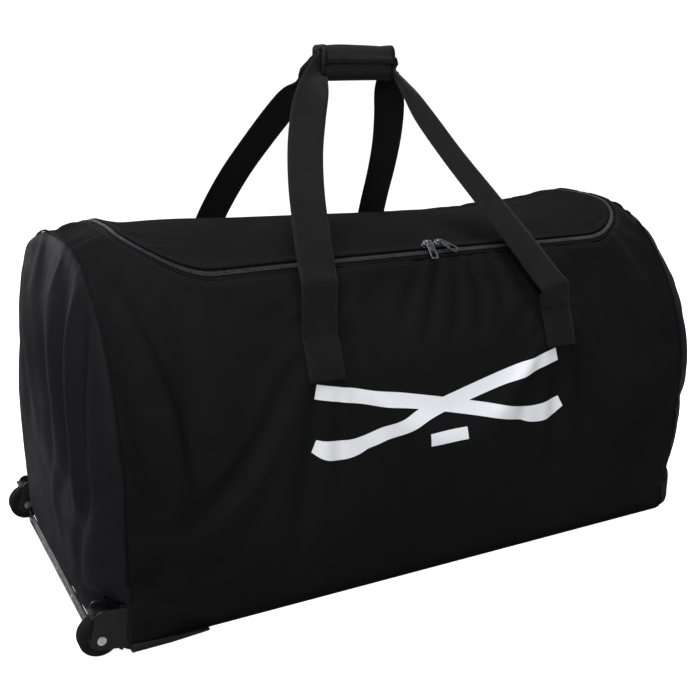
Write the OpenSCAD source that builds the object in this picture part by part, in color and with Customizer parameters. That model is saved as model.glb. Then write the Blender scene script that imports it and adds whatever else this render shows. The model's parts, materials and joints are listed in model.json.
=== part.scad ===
// Wheeled hockey equipment bag: a soft duffel on a stiff base board, with two wheels in
// moulded housings at one end, a D-shaped lid on a two-slider coil zip, two webbing carry
// handles joined by a hook-and-loop grip, and a webbing pull handle at the other end.
// +X runs along the bag away from the wheels, -Y is the front, +Z is up.

/* [Bag] */
// Length of the base from end seam to end seam
base_length = 914; // [700:2:1000]
// Width of the base
base_width = 460; // [360:2:520]
// Height of the crown above the ground
crown_height = 487; // [400:1:560]
// Height at which the side walls start to curve in
wall_height = 200; // [140:1:260]
// Roundness of the section, where 2 is an ellipse and larger is squarer
section_power = 2.7; // [2.2:0.1:4]
// How far the walls belly out at mid height
belly = 12; // [0:1:20]
// How far each end panel domes out past the end seam
end_dome = 26; // [5:1:35]
// Thickness of the padded fabric
fabric = 3; // [2:0.5:5]

/* [Lid and zip] */
// Left end of the zip's run, from the middle of the bag
zip_left = -374; // [-390:1:-300]
// Right end of the zip's run, from the middle of the bag
zip_right = 412; // [300:1:420]
// Distance of the straight front run from the centre line
zip_front = 154; // [120:1:170]
// Corner radius of the lid
lid_corner = 100; // [60:1:120]
// Width of the zip's two tapes and coil together
zip_width = 12; // [8:0.5:16]
// Distance of the lid's rear fold from the centre line
lid_back = 132; // [100:1:140]

/* [Carry handles] */
// Width of the webbing
web_width = 50; // [38:1:52]
// Thickness of the webbing
web_thick = 3; // [2:0.5:4]
// Height of the sewn anchors' top edge
anchor_top = 355; // [320:1:370]
// Height of a sewn anchor
anchor_height = 50; // [40:1:60]
// Height of the middle of the grip
grip_height = 684; // [640:1:720]
// Length of the grip
grip_length = 120; // [100:1:150]

/* [Wheels] */
// Diameter of a wheel
wheel_d = 50; // [40:1:60]
// Width of a wheel
wheel_width = 22; // [18:1:26]
// Distance of a wheel's middle from the bag's centre line
wheel_track = 219; // [200:1:222]
// Distance of the axles from the middle of the bag
axle_x = 463; // [460:1:468]
// Diameter of an axle
axle_d = 6; // [5:0.5:8]

/* [Hidden] */

seam_x = 430;                     // end seams, where the wrap meets the end panels
half_base = base_length / 2;
half_width = base_width / 2;
gap = 0.4;                        // clearance between neighbouring pieces
wrap_end = seam_x - fabric - gap; // ends of the wrap's panels
steps_x = 6;                      // cells of a panel along the bag
rows_wall = 5;                    // rows of a wall below the curve
rows_bend = 10;                   // rows of a wall where it curves in
rows_curve = 22;                  // rows over the whole curved top
notch_x = -398;                   // wheel housing pocket: its inner end
notch_y = 202;                    // wheel housing pocket: its inner side
notch_z = 64;                     // wheel housing pocket: its top
board_thick = 4;
zip_half = zip_width / 2;

// ---- Surface of the bag --------------------------------------------------------------

// Half width of the bag at height z below the crown
function half_at(z) =
    let (u = max(0, (z - wall_height) / (crown_height - wall_height)),
         swell = z < 420 ? belly * sin(180 * z / 420) : 0)
    (half_width + swell) * pow(max(0, 1 - pow(u, section_power)), 1 / section_power);

// Height of the top surface at distance y from the centre line
function height_at(y) =
    let (r = min(1, abs(y) / half_width))
    wall_height + (crown_height - wall_height) * pow(1 - pow(r, section_power), 1 / section_power);

// Slope of the top surface at y, in degrees from level
function slope_at(y) = atan2(height_at(y - 0.5) - height_at(y + 0.5), 1);

// A point on the top surface, lifted off it by d along the surface's normal
function on_top(x, y, d) =
    [x, y + d * sin(slope_at(y)), height_at(y) + d * cos(slope_at(y))];

// A point on the front wall (side -1) or back wall (side 1) at height z, lifted off it by d
function on_wall(x, z, side, d) =
    let (lean = atan2(half_at(z - 0.5) - half_at(z + 0.5), 1))
    [x, side * (half_at(z) + d * cos(lean)), z + d * sin(lean)];

// ---- Solids from grids of points -----------------------------------------------------

// Closed shell between two grids of the same size, given as rows of points
module grid_shell(outer, inner) {
    rows = len(outer);
    cols = len(outer[0]);
    n = rows * cols;
    points = concat([for (row = outer) for (p = row) p], [for (row = inner) for (p = row) p]);
    faces = concat(
        [for (i = [0:rows - 2]) for (j = [0:cols - 2])
            let (a = i * cols + j) for (t = [[a, a + cols + 1, a + 1], [a, a + cols, a + cols + 1]]) t],
        [for (i = [0:rows - 2]) for (j = [0:cols - 2])
            let (a = n + i * cols + j) for (t = [[a, a + 1, a + cols + 1], [a, a + cols + 1, a + cols]]) t],
        [for (i = [0:rows - 2]) for (e = [[i * cols, -1], [i * cols + cols - 1, 1]])
            let (a = e[0], b = a + cols)
            for (t = e[1] > 0 ? [[a, b, b + n], [a, b + n, a + n]] : [[b, a, b + n], [a, a + n, b + n]]) t],
        [for (j = [0:cols - 2]) for (e = [[j, 1], [(rows - 1) * cols + j, -1]])
            let (a = e[0], b = a + 1)
            for (t = e[1] > 0 ? [[a, b, b + n], [a, b + n, a + n]] : [[b, a, b + n], [a, a + n, b + n]]) t]
    );
    polyhedron(points, faces, convexity = 6);
}

// Tube of a closed outline swept through frames of [origin, across, up]
module sweep(frames, outline) {
    n = len(outline);
    rings = len(frames);
    points = [for (f = frames) for (q = outline) f[0] + q[0] * f[1] + q[1] * f[2]];
    faces = concat(
        [for (i = [0:rings - 2]) for (j = [0:n - 1])
            let (a = i * n + j, b = i * n + (j + 1) % n)
            for (t = [[a, b, b + n], [a, b + n, a + n]]) t],
        [[for (j = [n - 1:-1:0]) j], [for (j = [0:n - 1]) (rings - 1) * n + j]]
    );
    polyhedron(points, faces, convexity = 6);
}

function unit(v) = v / norm(v);

// ---- Panels --------------------------------------------------------------------------

module wall_panel(side) {
    top_z = height_at(side < 0 ? zip_front + zip_half : lid_back + 2 * gap);
    zs = concat([for (i = [0:rows_wall]) i * wall_height / rows_wall + (i == 0 ? fabric + gap : 0)],
                [for (i = [1:rows_bend]) wall_height + (top_z - wall_height) * sin(90 * i / rows_bend)]);
    function row(z, d) = [for (j = [0:steps_x])
        on_wall(-wrap_end + 2 * wrap_end * (side < 0 ? j : steps_x - j) / steps_x, z, side, d)];
    difference() {
        grid_shell([for (z = zs) row(z, 0)], [for (z = zs) row(z, -fabric)]);
        translate([-half_base, side * (half_width + 20) - 60, -1])
            cube([half_base + notch_x, 120, notch_z + 1]);
    }
}

// Left and right ends of the lid at distance y from the centre line, moved out by d
function lid_end(y, side, d) =
    let (into = max(0, -y - (zip_front - lid_corner)),
         r = lid_corner + d,
         back = r - sqrt(max(0, r * r - into * into)))
    side < 0 ? zip_left - d + back : zip_right + d - back;

function top_rows(y0, y1) = [for (i = [0:rows_curve]) y0 + (y1 - y0) * (1 - cos(180 * i / rows_curve)) / 2];

module top_patch(ys, left_side, d) {
    // left_side: -1 yoke left of the lid, 1 yoke right of it, 0 the lid itself
    function x_from(y) = left_side < 0 ? -wrap_end : left_side > 0 ? lid_end(y, 1, d) : lid_end(y, -1, d);
    function x_to(y) = left_side < 0 ? lid_end(y, -1, d) : left_side > 0 ? wrap_end : lid_end(y, 1, d);
    function row(y, off) = [for (j = [0:steps_x])
        on_top(x_from(y) + (x_to(y) - x_from(y)) * j / steps_x, y, off)];
    grid_shell([for (y = ys) row(y, 0)], [for (y = ys) row(y, -fabric)]);
}

// Distance of an end panel's surface from the middle of the bag; u runs -1 to 1 across it
function end_x(u, z, dome) =
    let (v = min(1, z / crown_height))
    seam_x + (half_base - seam_x) * sqrt(max(0, 1 - pow(v, 6))) * sqrt(1 - pow(abs(u), 8))
    + dome * (1 - u * u) * sin(180 * pow(v, 0.8));

module end_panel(side) {
    zs = concat([for (i = [0:rows_wall]) i * wall_height / rows_wall + (i == 0 ? fabric + gap : 0)],
                [for (i = [1:10]) wall_height + (crown_height - 1.5 - wall_height) * sin(90 * i / 10)]);
    cols = 12;
    dome = side < 0 ? end_dome / 2 : end_dome;
    function row(z, d) = [for (j = [0:cols]) let (u = 2 * j / cols - 1, w = half_at(z) - gap)
        [side * (end_x(u, z, dome) + d), (side < 0 ? -u : u) * w, z]];
    difference() {
        grid_shell([for (z = zs) row(z, 0)], [for (z = zs) row(z, -fabric)]);
        if (side < 0)
            for (s = [-1, 1])
                translate([-600, s > 0 ? notch_y : -notch_y - 100, -1]) cube([200, 100, notch_z + 1]);
    }
}

base_end = half_base - 4;
base_corner = 30;
board_inset = 26;
module base_outline(inset) {
    difference() {
        union() {
            square([2 * (base_end - inset), base_width - 2 * (inset + base_corner)], center = true);
            square([2 * (base_end - inset - base_corner), base_width - 2 * inset], center = true);
            for (sx = [-1, 1], sy = [-1, 1])
                translate([sx * (base_end - inset - base_corner), sy * (half_width - inset - base_corner)])
                    circle(r = base_corner, $fn = 64);
        }
        for (s = [-1, 1])
            translate([-600, s > 0 ? notch_y - inset : -notch_y - 100 + inset])
                square([600 + notch_x + inset, 100]);
    }
}

module base_panel() {
    color([0.07, 0.07, 0.08]) linear_extrude(fabric) base_outline(0);
}

module base_board() {
    color([0.12, 0.12, 0.13])
        translate([0, 0, fabric + gap]) linear_extrude(board_thick) base_outline(board_inset);
}

module front_panel() { color([0.10, 0.10, 0.11]) wall_panel(-1); }
module back_panel() { color([0.10, 0.10, 0.11]) wall_panel(1); }
module wheel_end_panel() { color([0.11, 0.11, 0.13]) end_panel(-1); }
module pull_end_panel() { color([0.10, 0.10, 0.11]) end_panel(1); }

yoke_rows = top_rows(-zip_front - zip_half + gap, lid_back);
module top_yoke_left() { color([0.10, 0.10, 0.11]) top_patch(yoke_rows, -1, zip_half); }
module top_yoke_right() { color([0.10, 0.10, 0.11]) top_patch(yoke_rows, 1, zip_half); }

// Binding tape over the raw edges inside an end seam
module seam_binding(side) {
    w = 12;
    turns = 18;
    ys = [for (i = [0:turns]) -0.97 * half_width * cos(180 * i / turns)];
    frames = [for (y = ys) [on_top(side * (seam_x - 14), y, -fabric - 2.2), [side, 0, 0] * side,
        [0, sin(slope_at(y)), cos(slope_at(y))]]];
    sweep(frames, [[-w / 2, -0.8], [w / 2, -0.8], [w / 2, 0.8], [-w / 2, 0.8]]);
}
module seam_binding_left() { color([0.2, 0.2, 0.21]) seam_binding(-1); }
module seam_binding_right() { color([0.2, 0.2, 0.21]) seam_binding(1); }

// ---- Zip -----------------------------------------------------------------------------

// Route of the zip in plan: up the left end, along the front, back down the right end
corner_steps = 8;
zip_run = [for (i = [0:4]) lid_back - 4 - i * 40];
zip_plan = concat(
    [for (y = zip_run) [zip_left, y]],
    [for (i = [0:corner_steps]) let (t = 90 * i / corner_steps)
        [zip_left + lid_corner * (1 - cos(t)), -zip_front + lid_corner * (1 - sin(t))]],
    [for (i = [1:3]) [zip_left + lid_corner + i * (zip_right - zip_left - 2 * lid_corner) / 4, -zip_front]],
    [for (i = [corner_steps:-1:0]) let (t = 90 * i / corner_steps)
        [zip_right - lid_corner * (1 - cos(t)), -zip_front + lid_corner * (1 - sin(t))]],
    [for (i = [4:-1:0]) [zip_right, zip_run[i]]]
);

function zip_frame(i) =
    let (a = zip_plan[max(0, i - 1)], b = zip_plan[min(len(zip_plan) - 1, i + 1)], p = zip_plan[i],
         along = unit(on_top(b[0], b[1], 0) - on_top(a[0], a[1], 0)),
         up = [0, sin(slope_at(p[1])), cos(slope_at(p[1]))])
    [on_top(p[0], p[1], -fabric / 2), unit(cross(up, along)), unit(cross(along, cross(up, along)))];

// One tape with its half of the coil; side 1 is the lid's, side -1 the body's
module zip_track(side) {
    half = [[0.3, 1.3], [2.2, 1.3], [2.2, 0.5], [zip_half - 0.5, 0.5],
            [zip_half - 0.5, -0.5], [2.2, -0.5], [2.2, -1.3], [0.3, -1.3]];
    flipped = [for (i = [len(half) - 1:-1:0]) [-half[i][0], half[i][1]]];
    sweep([for (i = [0:len(zip_plan) - 1]) zip_frame(i)], side > 0 ? half : flipped);
}
module zip_track_body() { color([0.45, 0.45, 0.46]) zip_track(-1); }
module zip_track_lid() { color([0.45, 0.45, 0.46]) zip_track(1); }

module zip_end_stops() {
    color([0.5, 0.5, 0.52])
        for (i = [0, len(zip_plan) - 1])
            let (p = zip_plan[i])
                translate(on_top(p[0], p[1] + 2.5, -fabric / 2)) rotate([-slope_at(p[1]), 0, 0])
                    cube([zip_width - 1.6, 4, 2.4], center = true);
}

// Sliders: body with a channel for the coil, and a bridge that the pull tab hangs on
slider_x = [31, 49];
slider_length = 14;
slider_half = 5;
slider_plate = 1.2;
slider_clear = 0.4;
plate_z = 1.3 + slider_clear;
lug_thick = 2;                    // lug that a pull tab turns on, across its hole
lug_half = 2.4;
pivot_z = plate_z + slider_plate + 2.2;
tab_turn = [0, 52];               // how far each tab lies over to the right
zip_slope = slope_at(-zip_front);

module at_zip(x) {
    translate(on_top(x, -zip_front, -fabric / 2)) rotate([-zip_slope, 0, 0]) children();
}
module zip_slider(i) {
    at_zip(slider_x[i]) difference() {
        union() {
            for (s = [-1, 1])
                translate([-slider_length / 2, -slider_half, s > 0 ? plate_z : -plate_z - slider_plate])
                    cube([slider_length, 2 * slider_half, slider_plate]);
            translate([(i == 0 ? 1 : -1) * (slider_length / 2 - 1.6) - 0.6, -0.2, -plate_z - 0.2])
                cube([1.2, 0.4, 2 * plate_z + 0.4]);
            rotate([0, 0, tab_turn[i]]) translate([-lug_thick / 2, -lug_half, plate_z + slider_plate - 0.1])
                cube([lug_thick, 2 * lug_half, pivot_z + 2.4 - plate_z - slider_plate]);
        }
        rotate([0, 0, tab_turn[i]]) translate([0, 0, pivot_z]) rotate([0, 90, 0])
            cylinder(d = 3, h = 8, center = true, $fn = 24);
    }
}
module zip_slider_left() { color([0.28, 0.28, 0.29]) zip_slider(0); }
module zip_slider_right() { color([0.28, 0.28, 0.29]) zip_slider(1); }

// Pull tab: a plate whose top bar runs through the slider's lug, with a window at its free end
tab_length = 29;
tab_width = 11.5;
tab_thick = 1.6;
tab_bar = 0.8;                    // half width of the bar in the lug
tab_droop = [9, 3];               // how much steeper than the zip's plane each tab hangs
module tab_shape() {
    difference() {
        hull() {
            translate([-3.4, -2]) square([6.8, 2 + tab_bar]);
            for (s = [-1, 1], y = [-9, -tab_length + 2])
                translate([s * (tab_width / 2 - 2), y]) circle(r = 2, $fn = 16);
        }
        translate([-1.6, -5.4]) square([3.2, 5.4 - tab_bar]);
        translate([-tab_width / 2 + 2.4, -tab_length + 2.6]) square([tab_width - 4.8, 10]);
    }
}
module pull_tab(i) {
    at_zip(slider_x[i]) rotate([0, 0, tab_turn[i]]) translate([0, 0, pivot_z]) rotate([tab_droop[i], 0, 0])
        linear_extrude(tab_thick, center = true) tab_shape();
}
module pull_tab_left() { color([0.35, 0.35, 0.36]) pull_tab(0); }
module pull_tab_right() { color([0.35, 0.35, 0.36]) pull_tab(1); }

// ---- Lid -----------------------------------------------------------------------------

module lid_panel() {
    color([0.09, 0.09, 0.10]) top_patch(top_rows(-zip_front + zip_half, lid_back), 0, -zip_half);
}

// ---- Carry handles -------------------------------------------------------------------

front_anchor_x = [-166, 200];
back_anchor_x = [-172, 140];
fold_z = 420;
grip_end_x = grip_length / 2 + 18;

module anchor(x, side) {
    rows = 4;
    frames = [for (i = [0:rows])
        let (z = anchor_top - anchor_height * (1 - i / rows),
             p = on_wall(x, z, side, gap + web_thick / 2),
             q = on_wall(x, z, side, gap + web_thick / 2 + 1))
        [p, [side < 0 ? 1 : -1, 0, 0], q - p]];
    sweep(frames, [[-web_width / 2, web_thick / 2], [-web_width / 2, -web_thick / 2],
                   [web_width / 2, -web_thick / 2], [web_width / 2, web_thick / 2]]);
}
module anchor_front_left() { color([0.17, 0.17, 0.18]) anchor(front_anchor_x[0], -1); }
module anchor_front_right() { color([0.17, 0.17, 0.18]) anchor(front_anchor_x[1], -1); }
module anchor_back_left() { color([0.17, 0.17, 0.18]) anchor(back_anchor_x[0], 1); }
module anchor_back_right() { color([0.17, 0.17, 0.18]) anchor(back_anchor_x[1], 1); }

// One carry handle: two legs from the anchors and the bar of webbing inside the grip
module carry_strap(xs, side) {
    low = on_wall(0, anchor_top + 2, side, gap + web_thick / 2);
    fold_y = side * (half_at(fold_z) + 26);
    bar_y = side * 5;
    bar_h = 28;
    for (k = [0, 1]) {
        s = k == 0 ? -1 : 1;
        end = [s * grip_end_x, side * 8, grip_height];
        fold_x = xs[k] + (end[0] - xs[k]) * 0.06;
        hull() {
            translate([xs[k], low[1], low[2] + 2]) cube([web_width, web_thick, 3], center = true);
            translate([fold_x, fold_y, fold_z]) cube([web_width, web_thick, 3], center = true);
        }
        hull() {
            translate([fold_x, fold_y, fold_z]) cube([web_width, web_thick, 3], center = true);
            translate(end) cube([30, web_thick, 3], center = true);
        }
        hull() {
            translate(end) cube([30, web_thick, 3], center = true);
            translate([s * (grip_length / 2 + 4), bar_y, grip_height])
                cube([3, web_thick, bar_h], center = true);
        }
    }
    translate([0, bar_y, grip_height]) cube([grip_length + 8, web_thick, bar_h], center = true);
}
module front_handle_strap() { color([0.17, 0.17, 0.18]) carry_strap(front_anchor_x, -1); }
module back_handle_strap() { color([0.17, 0.17, 0.18]) carry_strap(back_anchor_x, 1); }

// Grip: a padded trough on the front handle, closed over the top by a flap
grip_deep = 36;
grip_wall = 6;
grip_low = grip_height - 24;
grip_rim = grip_height + 17;
module along_grip(length) {
    translate([-length / 2, 0, 0]) rotate([90, 0, 90]) linear_extrude(length) children();
}
module grip_pad() {
    color([0.13, 0.13, 0.14]) along_grip(grip_length) difference() {
        union() {
            translate([-grip_deep / 2, grip_low + 12]) square([grip_deep, grip_rim - grip_low - 12]);
            translate([-grip_deep / 2 + 12, grip_low]) square([grip_deep - 24, 14]);
            for (s = [-1, 1]) translate([s * (grip_deep / 2 - 12), grip_low + 12]) circle(r = 12, $fn = 48);
        }
        translate([-grip_deep / 2 + grip_wall, grip_low + grip_wall + 3])
            square([grip_deep - 2 * grip_wall, grip_rim]);
    }
}
module loop_tape() {
    color([0.06, 0.06, 0.06])
        translate([-grip_length / 2 + 8, -grip_deep / 2 - gap - 1, grip_rim - 15])
            cube([grip_length - 16, 1, 14]);
}
flap_thick = 4;
flap_lip = 15;
module grip_flap() {
    front = -grip_deep / 2 - 5;
    color([0.13, 0.13, 0.14]) along_grip(grip_length) union() {
        translate([front, grip_rim + gap]) square([grip_deep / 2 - front, flap_thick]);
        translate([front, grip_rim + gap - flap_lip]) square([2.4, flap_lip + 1]);
    }
}
module hook_tape() {
    color([0.05, 0.05, 0.05])
        translate([-grip_length / 2 + 8, -grip_deep / 2 - 2.4, grip_rim - 13])
            cube([grip_length - 16, 0.8, 11]);
}

// ---- Wheels --------------------------------------------------------------------------

wheel_r = wheel_d / 2;
axle_z = wheel_r;
hub_r = 15;
bush_r = 5;
run_clear = 0.05;                 // radial running clearance of a bush on its axle
cheek_in = wheel_width / 2 + 2;
cheek_thick = 3;

module at_wheel(side) {
    translate([-axle_x, side * wheel_track, axle_z]) rotate([90, 0, 0]) children();
}
module ring(r_out, r_in, width) {
    difference() {
        cylinder(r = r_out, h = width, center = true, $fn = 96);
        cylinder(r = r_in, h = width + 2, center = true, $fn = 64);
    }
}
module tyre(side) {
    color([0.05, 0.05, 0.05]) at_wheel(side) rotate_extrude($fn = 96) difference() {
        union() {
            translate([hub_r, -wheel_width / 2]) square([wheel_r - hub_r - 3, wheel_width]);
            translate([hub_r, -wheel_width / 2 + 3]) square([wheel_r - hub_r, wheel_width - 6]);
            for (s = [-1, 1]) translate([wheel_r - 3, s * (wheel_width / 2 - 3)]) circle(r = 3, $fn = 32);
        }
        for (s = [-1, 1]) translate([wheel_r, s * 3.5]) circle(r = 0.8, $fn = 16);
    }
}
module hub(side) {
    color([0.10, 0.10, 0.11]) at_wheel(side) difference() {
        ring(hub_r, bush_r, wheel_width - 2);
        for (s = [-1, 1]) translate([0, 0, s * (wheel_width / 2 - 1)]) ring(hub_r - 2.5, bush_r + 2.5, 5);
    }
}
module bush(side) {
    color([0.7, 0.7, 0.68]) at_wheel(side) ring(bush_r, axle_d / 2 + run_clear, wheel_width);
}
module tyre_front() { tyre(-1); }
module tyre_rear() { tyre(1); }
module hub_front() { hub(-1); }
module hub_rear() { hub(1); }
module bush_front() { bush(-1); }
module bush_rear() { bush(1); }

// Axle pin: a shank through both cheeks, with a rivet head outside each
module axle(side) {
    color([0.6, 0.6, 0.62]) at_wheel(side) union() {
        cylinder(d = axle_d, h = 2 * (cheek_in + cheek_thick) + 1, center = true, $fn = 48);
        for (s = [-1, 1]) translate([0, 0, s * (cheek_in + cheek_thick + 0.9)])
            cylinder(d = axle_d + 5, h = 1.6, center = true, $fn = 48);
    }
}
module axle_front() { axle(-1); }
module axle_rear() { axle(1); }

// Housing: two cheeks with a solid block between them, hollowed round the wheel, riveted to the bag
housing_top = 60;
housing_foot = 3;
housing_back = notch_x - 1;
arch_in = wheel_r + 3;
module cheek_shape() {
    hull() {
        circle(r = 13, $fn = 48);
        translate([4, housing_top - axle_z - 8]) circle(r = 10, $fn = 48);
        translate([axle_x + housing_back - 4, housing_top - axle_z - 2]) circle(r = 4, $fn = 32);
        translate([axle_x + housing_back - 4, -axle_z + 7]) circle(r = 4, $fn = 32);
    }
}
module housing(side) {
    inner_y = side * (wheel_track - cheek_in - cheek_thick / 2);
    outer_y = side * (wheel_track + cheek_in + cheek_thick / 2);
    color([0.06, 0.06, 0.07]) difference() {
        union() {
            for (y = [inner_y, outer_y])
                translate([-axle_x, y, axle_z]) rotate([90, 0, 0])
                    linear_extrude(cheek_thick, center = true) cheek_shape();
            translate([-axle_x, side * wheel_track, axle_z]) rotate([90, 0, 0])
                linear_extrude(2 * cheek_in + 0.2, center = true) difference() {
                    translate([-2, housing_foot - axle_z])
                        square([axle_x + housing_back + 2, housing_top + 2 - housing_foot]);
                    circle(r = arch_in, $fn = 64);
                }
        }
        at_wheel(side) cylinder(d = axle_d + 0.04, h = 60, center = true, $fn = 48);
        rivet_holes(side);
    }
}
module wheel_housing_front() { housing(-1); }
module wheel_housing_rear() { housing(1); }

// Backing plate inside the bag, riveted to the housing's inner cheek
backing_y = wheel_track - cheek_in - cheek_thick - 3.6;
backing_thick = 2;
rivet_d = 4;
rivet_xs = [notch_x - 30, notch_x - 12];
rivet_zs = [20, 44];
rivet_head = 1.2;                 // thickness of the heads moulded into the housing
module rivet_holes(side) {
    for (x = rivet_xs, z = rivet_zs) {
        translate([x, side * (wheel_track - cheek_in - cheek_thick / 2), z])
            rotate([90, 0, 0]) cylinder(d = rivet_d + 0.1, h = 12, center = true, $fn = 32);
        translate([x, side * (wheel_track - cheek_in + rivet_head / 2 + 0.1), z])
            rotate([90, 0, 0])
                cylinder(d = 2 * rivet_d + 0.1, h = rivet_head + 0.1, center = true, $fn = 32);
    }
}
module backing(side) {
    color([0.15, 0.15, 0.16]) difference() {
        translate([notch_x - 38, side * backing_y - backing_thick / 2, fabric + board_thick + 2])
            cube([36, backing_thick, 46]);
        rivet_holes(side);
    }
}
module backing_plate_front() { backing(-1); }
module backing_plate_rear() { backing(1); }

module housing_rivets(side) {
    color([0.55, 0.55, 0.57]) for (x = rivet_xs, z = rivet_zs)
        translate([x, side * wheel_track, z]) rotate([side * 90, 0, 0]) {
            translate([0, 0, cheek_in - 1.3]) cylinder(d = rivet_d, h = 8.3, $fn = 32);
            translate([0, 0, cheek_in - 1.3]) cylinder(d = 2 * rivet_d, h = rivet_head, $fn = 32);
            translate([0, 0, wheel_track - backing_y + backing_thick / 2 + 0.1])
                cylinder(d = 2 * rivet_d, h = 1, $fn = 32);
        }
}
module housing_rivets_front() { housing_rivets(-1); }
module housing_rivets_rear() { housing_rivets(1); }

// Moulded strip along the foot of the wheel end, between the housings
skid_half = 194;
skid_x = -half_base - 7.5;
module end_skid() {
    color([0.05, 0.05, 0.06]) difference() {
        translate([skid_x, -skid_half, 1.5]) cube([3, 2 * skid_half, 20]);
        for (y = rivet_ys) translate([skid_x + 1, y, 12]) rotate([0, 90, 0])
            cylinder(d = 4, h = 10, center = true, $fn = 32);
    }
}
rivet_ys = [for (i = [-2:2]) i * 88];
module skid_rivets() {
    color([0.6, 0.6, 0.62]) for (y = rivet_ys) translate([skid_x, y, 12]) rotate([0, 90, 0]) {
        translate([0, 0, -1.3]) cylinder(d = 8, h = 1.2, $fn = 32);
        translate([0, 0, -0.2]) cylinder(d = 3.8, h = 2.9, $fn = 32);
    }
}

// ---- Pull handle ---------------------------------------------------------------------

pull_z = 330;                     // height of the pull handle's hinge line
pull_half = 80;                   // half the distance between its anchors
pull_drop = 95;
pull_anchor = 40;
pull_out = 4;                     // how far the webbing stands off the panel
function on_pull_end(y, z) = [end_x(y / half_at(z), z, end_dome) + gap + pull_out, y, z];
module web_slice(p, w) { translate(p) cube([web_thick, w, 3], center = true); }
module pull_handle_anchors() {
    color([0.17, 0.17, 0.18]) for (s = [-1, 1]) hull() {
        web_slice(on_pull_end(s * pull_half, pull_z + 5) - [1, 0, 0], web_width);
        web_slice(on_pull_end(s * pull_half, pull_z + 5 + pull_anchor) - [1, 0, 0], web_width);
    }
}
module pull_handle_webbing() {
    low_x = on_pull_end(0, pull_z - pull_drop)[0] + 3;
    bar_h = 36;
    color([0.17, 0.17, 0.18]) union() {
        for (s = [-1, 1]) {
            knee = [low_x - 1, s * (pull_half - 8), pull_z - 50];
            hull() {
                web_slice(on_pull_end(s * pull_half, pull_z), web_width);
                web_slice(knee, web_width - 6);
            }
            hull() {
                web_slice(knee, web_width - 6);
                translate([low_x, s * 55, pull_z - pull_drop]) cube([web_thick, 3, bar_h], center = true);
            }
        }
        translate([low_x, 0, pull_z - pull_drop]) cube([web_thick, 112, bar_h], center = true);
    }
}

// ---- Assembly ------------------------------------------------------------------------

base_panel();
base_board();
front_panel();
back_panel();
wheel_end_panel();
pull_end_panel();
top_yoke_left();
top_yoke_right();
seam_binding_left();
seam_binding_right();
zip_track_body();
zip_end_stops();
anchor_front_left();
anchor_front_right();
anchor_back_left();
anchor_back_right();
wheel_housing_front();
wheel_housing_rear();
backing_plate_front();
backing_plate_rear();
housing_rivets_front();
housing_rivets_rear();
end_skid();
skid_rivets();
axle_front();
axle_rear();
pull_handle_anchors();
tyre_front();
hub_front();
bush_front();
tyre_rear();
hub_rear();
bush_rear();
zip_slider_left();
zip_slider_right();
pull_tab_left();
pull_tab_right();
lid_panel();
zip_track_lid();
front_handle_strap();
grip_pad();
loop_tape();
grip_flap();
hook_tape();
back_handle_strap();
pull_handle_webbing();
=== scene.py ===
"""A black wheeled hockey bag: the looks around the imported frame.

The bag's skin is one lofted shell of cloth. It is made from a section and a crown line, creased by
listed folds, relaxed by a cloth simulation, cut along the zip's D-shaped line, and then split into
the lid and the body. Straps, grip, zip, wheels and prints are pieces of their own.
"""
import json
import math

import bmesh
import bpy
import numpy as np
from mathutils import Matrix, Vector
from mathutils.bvhtree import BVHTree


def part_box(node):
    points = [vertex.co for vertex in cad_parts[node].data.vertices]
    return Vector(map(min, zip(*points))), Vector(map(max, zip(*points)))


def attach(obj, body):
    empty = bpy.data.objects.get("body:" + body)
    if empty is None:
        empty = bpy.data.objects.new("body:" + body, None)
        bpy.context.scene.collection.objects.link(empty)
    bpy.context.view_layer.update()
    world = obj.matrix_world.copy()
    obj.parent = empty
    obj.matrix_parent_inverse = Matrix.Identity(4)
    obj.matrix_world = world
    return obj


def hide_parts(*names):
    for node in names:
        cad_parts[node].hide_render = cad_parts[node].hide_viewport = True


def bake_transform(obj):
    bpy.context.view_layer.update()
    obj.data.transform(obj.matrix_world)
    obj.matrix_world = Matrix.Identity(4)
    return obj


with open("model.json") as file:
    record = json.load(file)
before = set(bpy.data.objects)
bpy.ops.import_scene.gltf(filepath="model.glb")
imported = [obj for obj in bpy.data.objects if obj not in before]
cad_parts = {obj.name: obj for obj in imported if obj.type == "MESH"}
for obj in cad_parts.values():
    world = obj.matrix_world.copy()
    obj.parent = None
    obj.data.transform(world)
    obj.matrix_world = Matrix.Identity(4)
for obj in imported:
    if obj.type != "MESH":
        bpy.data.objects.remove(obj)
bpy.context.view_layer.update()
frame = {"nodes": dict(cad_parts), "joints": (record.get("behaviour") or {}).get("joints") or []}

# ---- Driving dimensions, in metres, from the frame where it holds them ---------------------------

zip_lo, zip_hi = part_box("zip_track_lid")
anchor_boxes = {n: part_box(n) for n in
                ("anchor_front_left", "anchor_front_right", "anchor_back_left", "anchor_back_right")}
grip_lo, grip_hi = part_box("grip_pad")

HALF_W = 0.228            # half width of the base
BELLY = 0.022             # swell of the walls at mid height
WALL_Z = 0.200            # where the walls start to curve in
SEAM = 0.430              # end seams from the middle
CROWN_X = (-0.43, -0.32, -0.16, 0.0, 0.16, 0.28, 0.37, 0.43)
CROWN_Z = (0.473, 0.488, 0.484, 0.479, 0.474, 0.473, 0.480, 0.482)
CAP = {-1: (0.025, 0.003), 1: (0.047, 0.026)}     # end panels: corner depth and dome
FOOT_Z = 0.004            # the shell's lower edge
FOOT_ROUND = 0.007        # rounding where the walls turn under
CELL = 0.008              # size of a cell of cloth
NOTCH_X, NOTCH_Y, NOTCH_Z = -0.436, 0.2005, 0.0655     # corners cut out for the wheel housings
COVER = 0.0085            # how far the walls stand out over the housings
ZIP_L = zip_lo.x - 0.0003
ZIP_R = zip_hi.x + 0.0003
ZIP_Y = 0.157             # front run of the zip from the centre line
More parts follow.
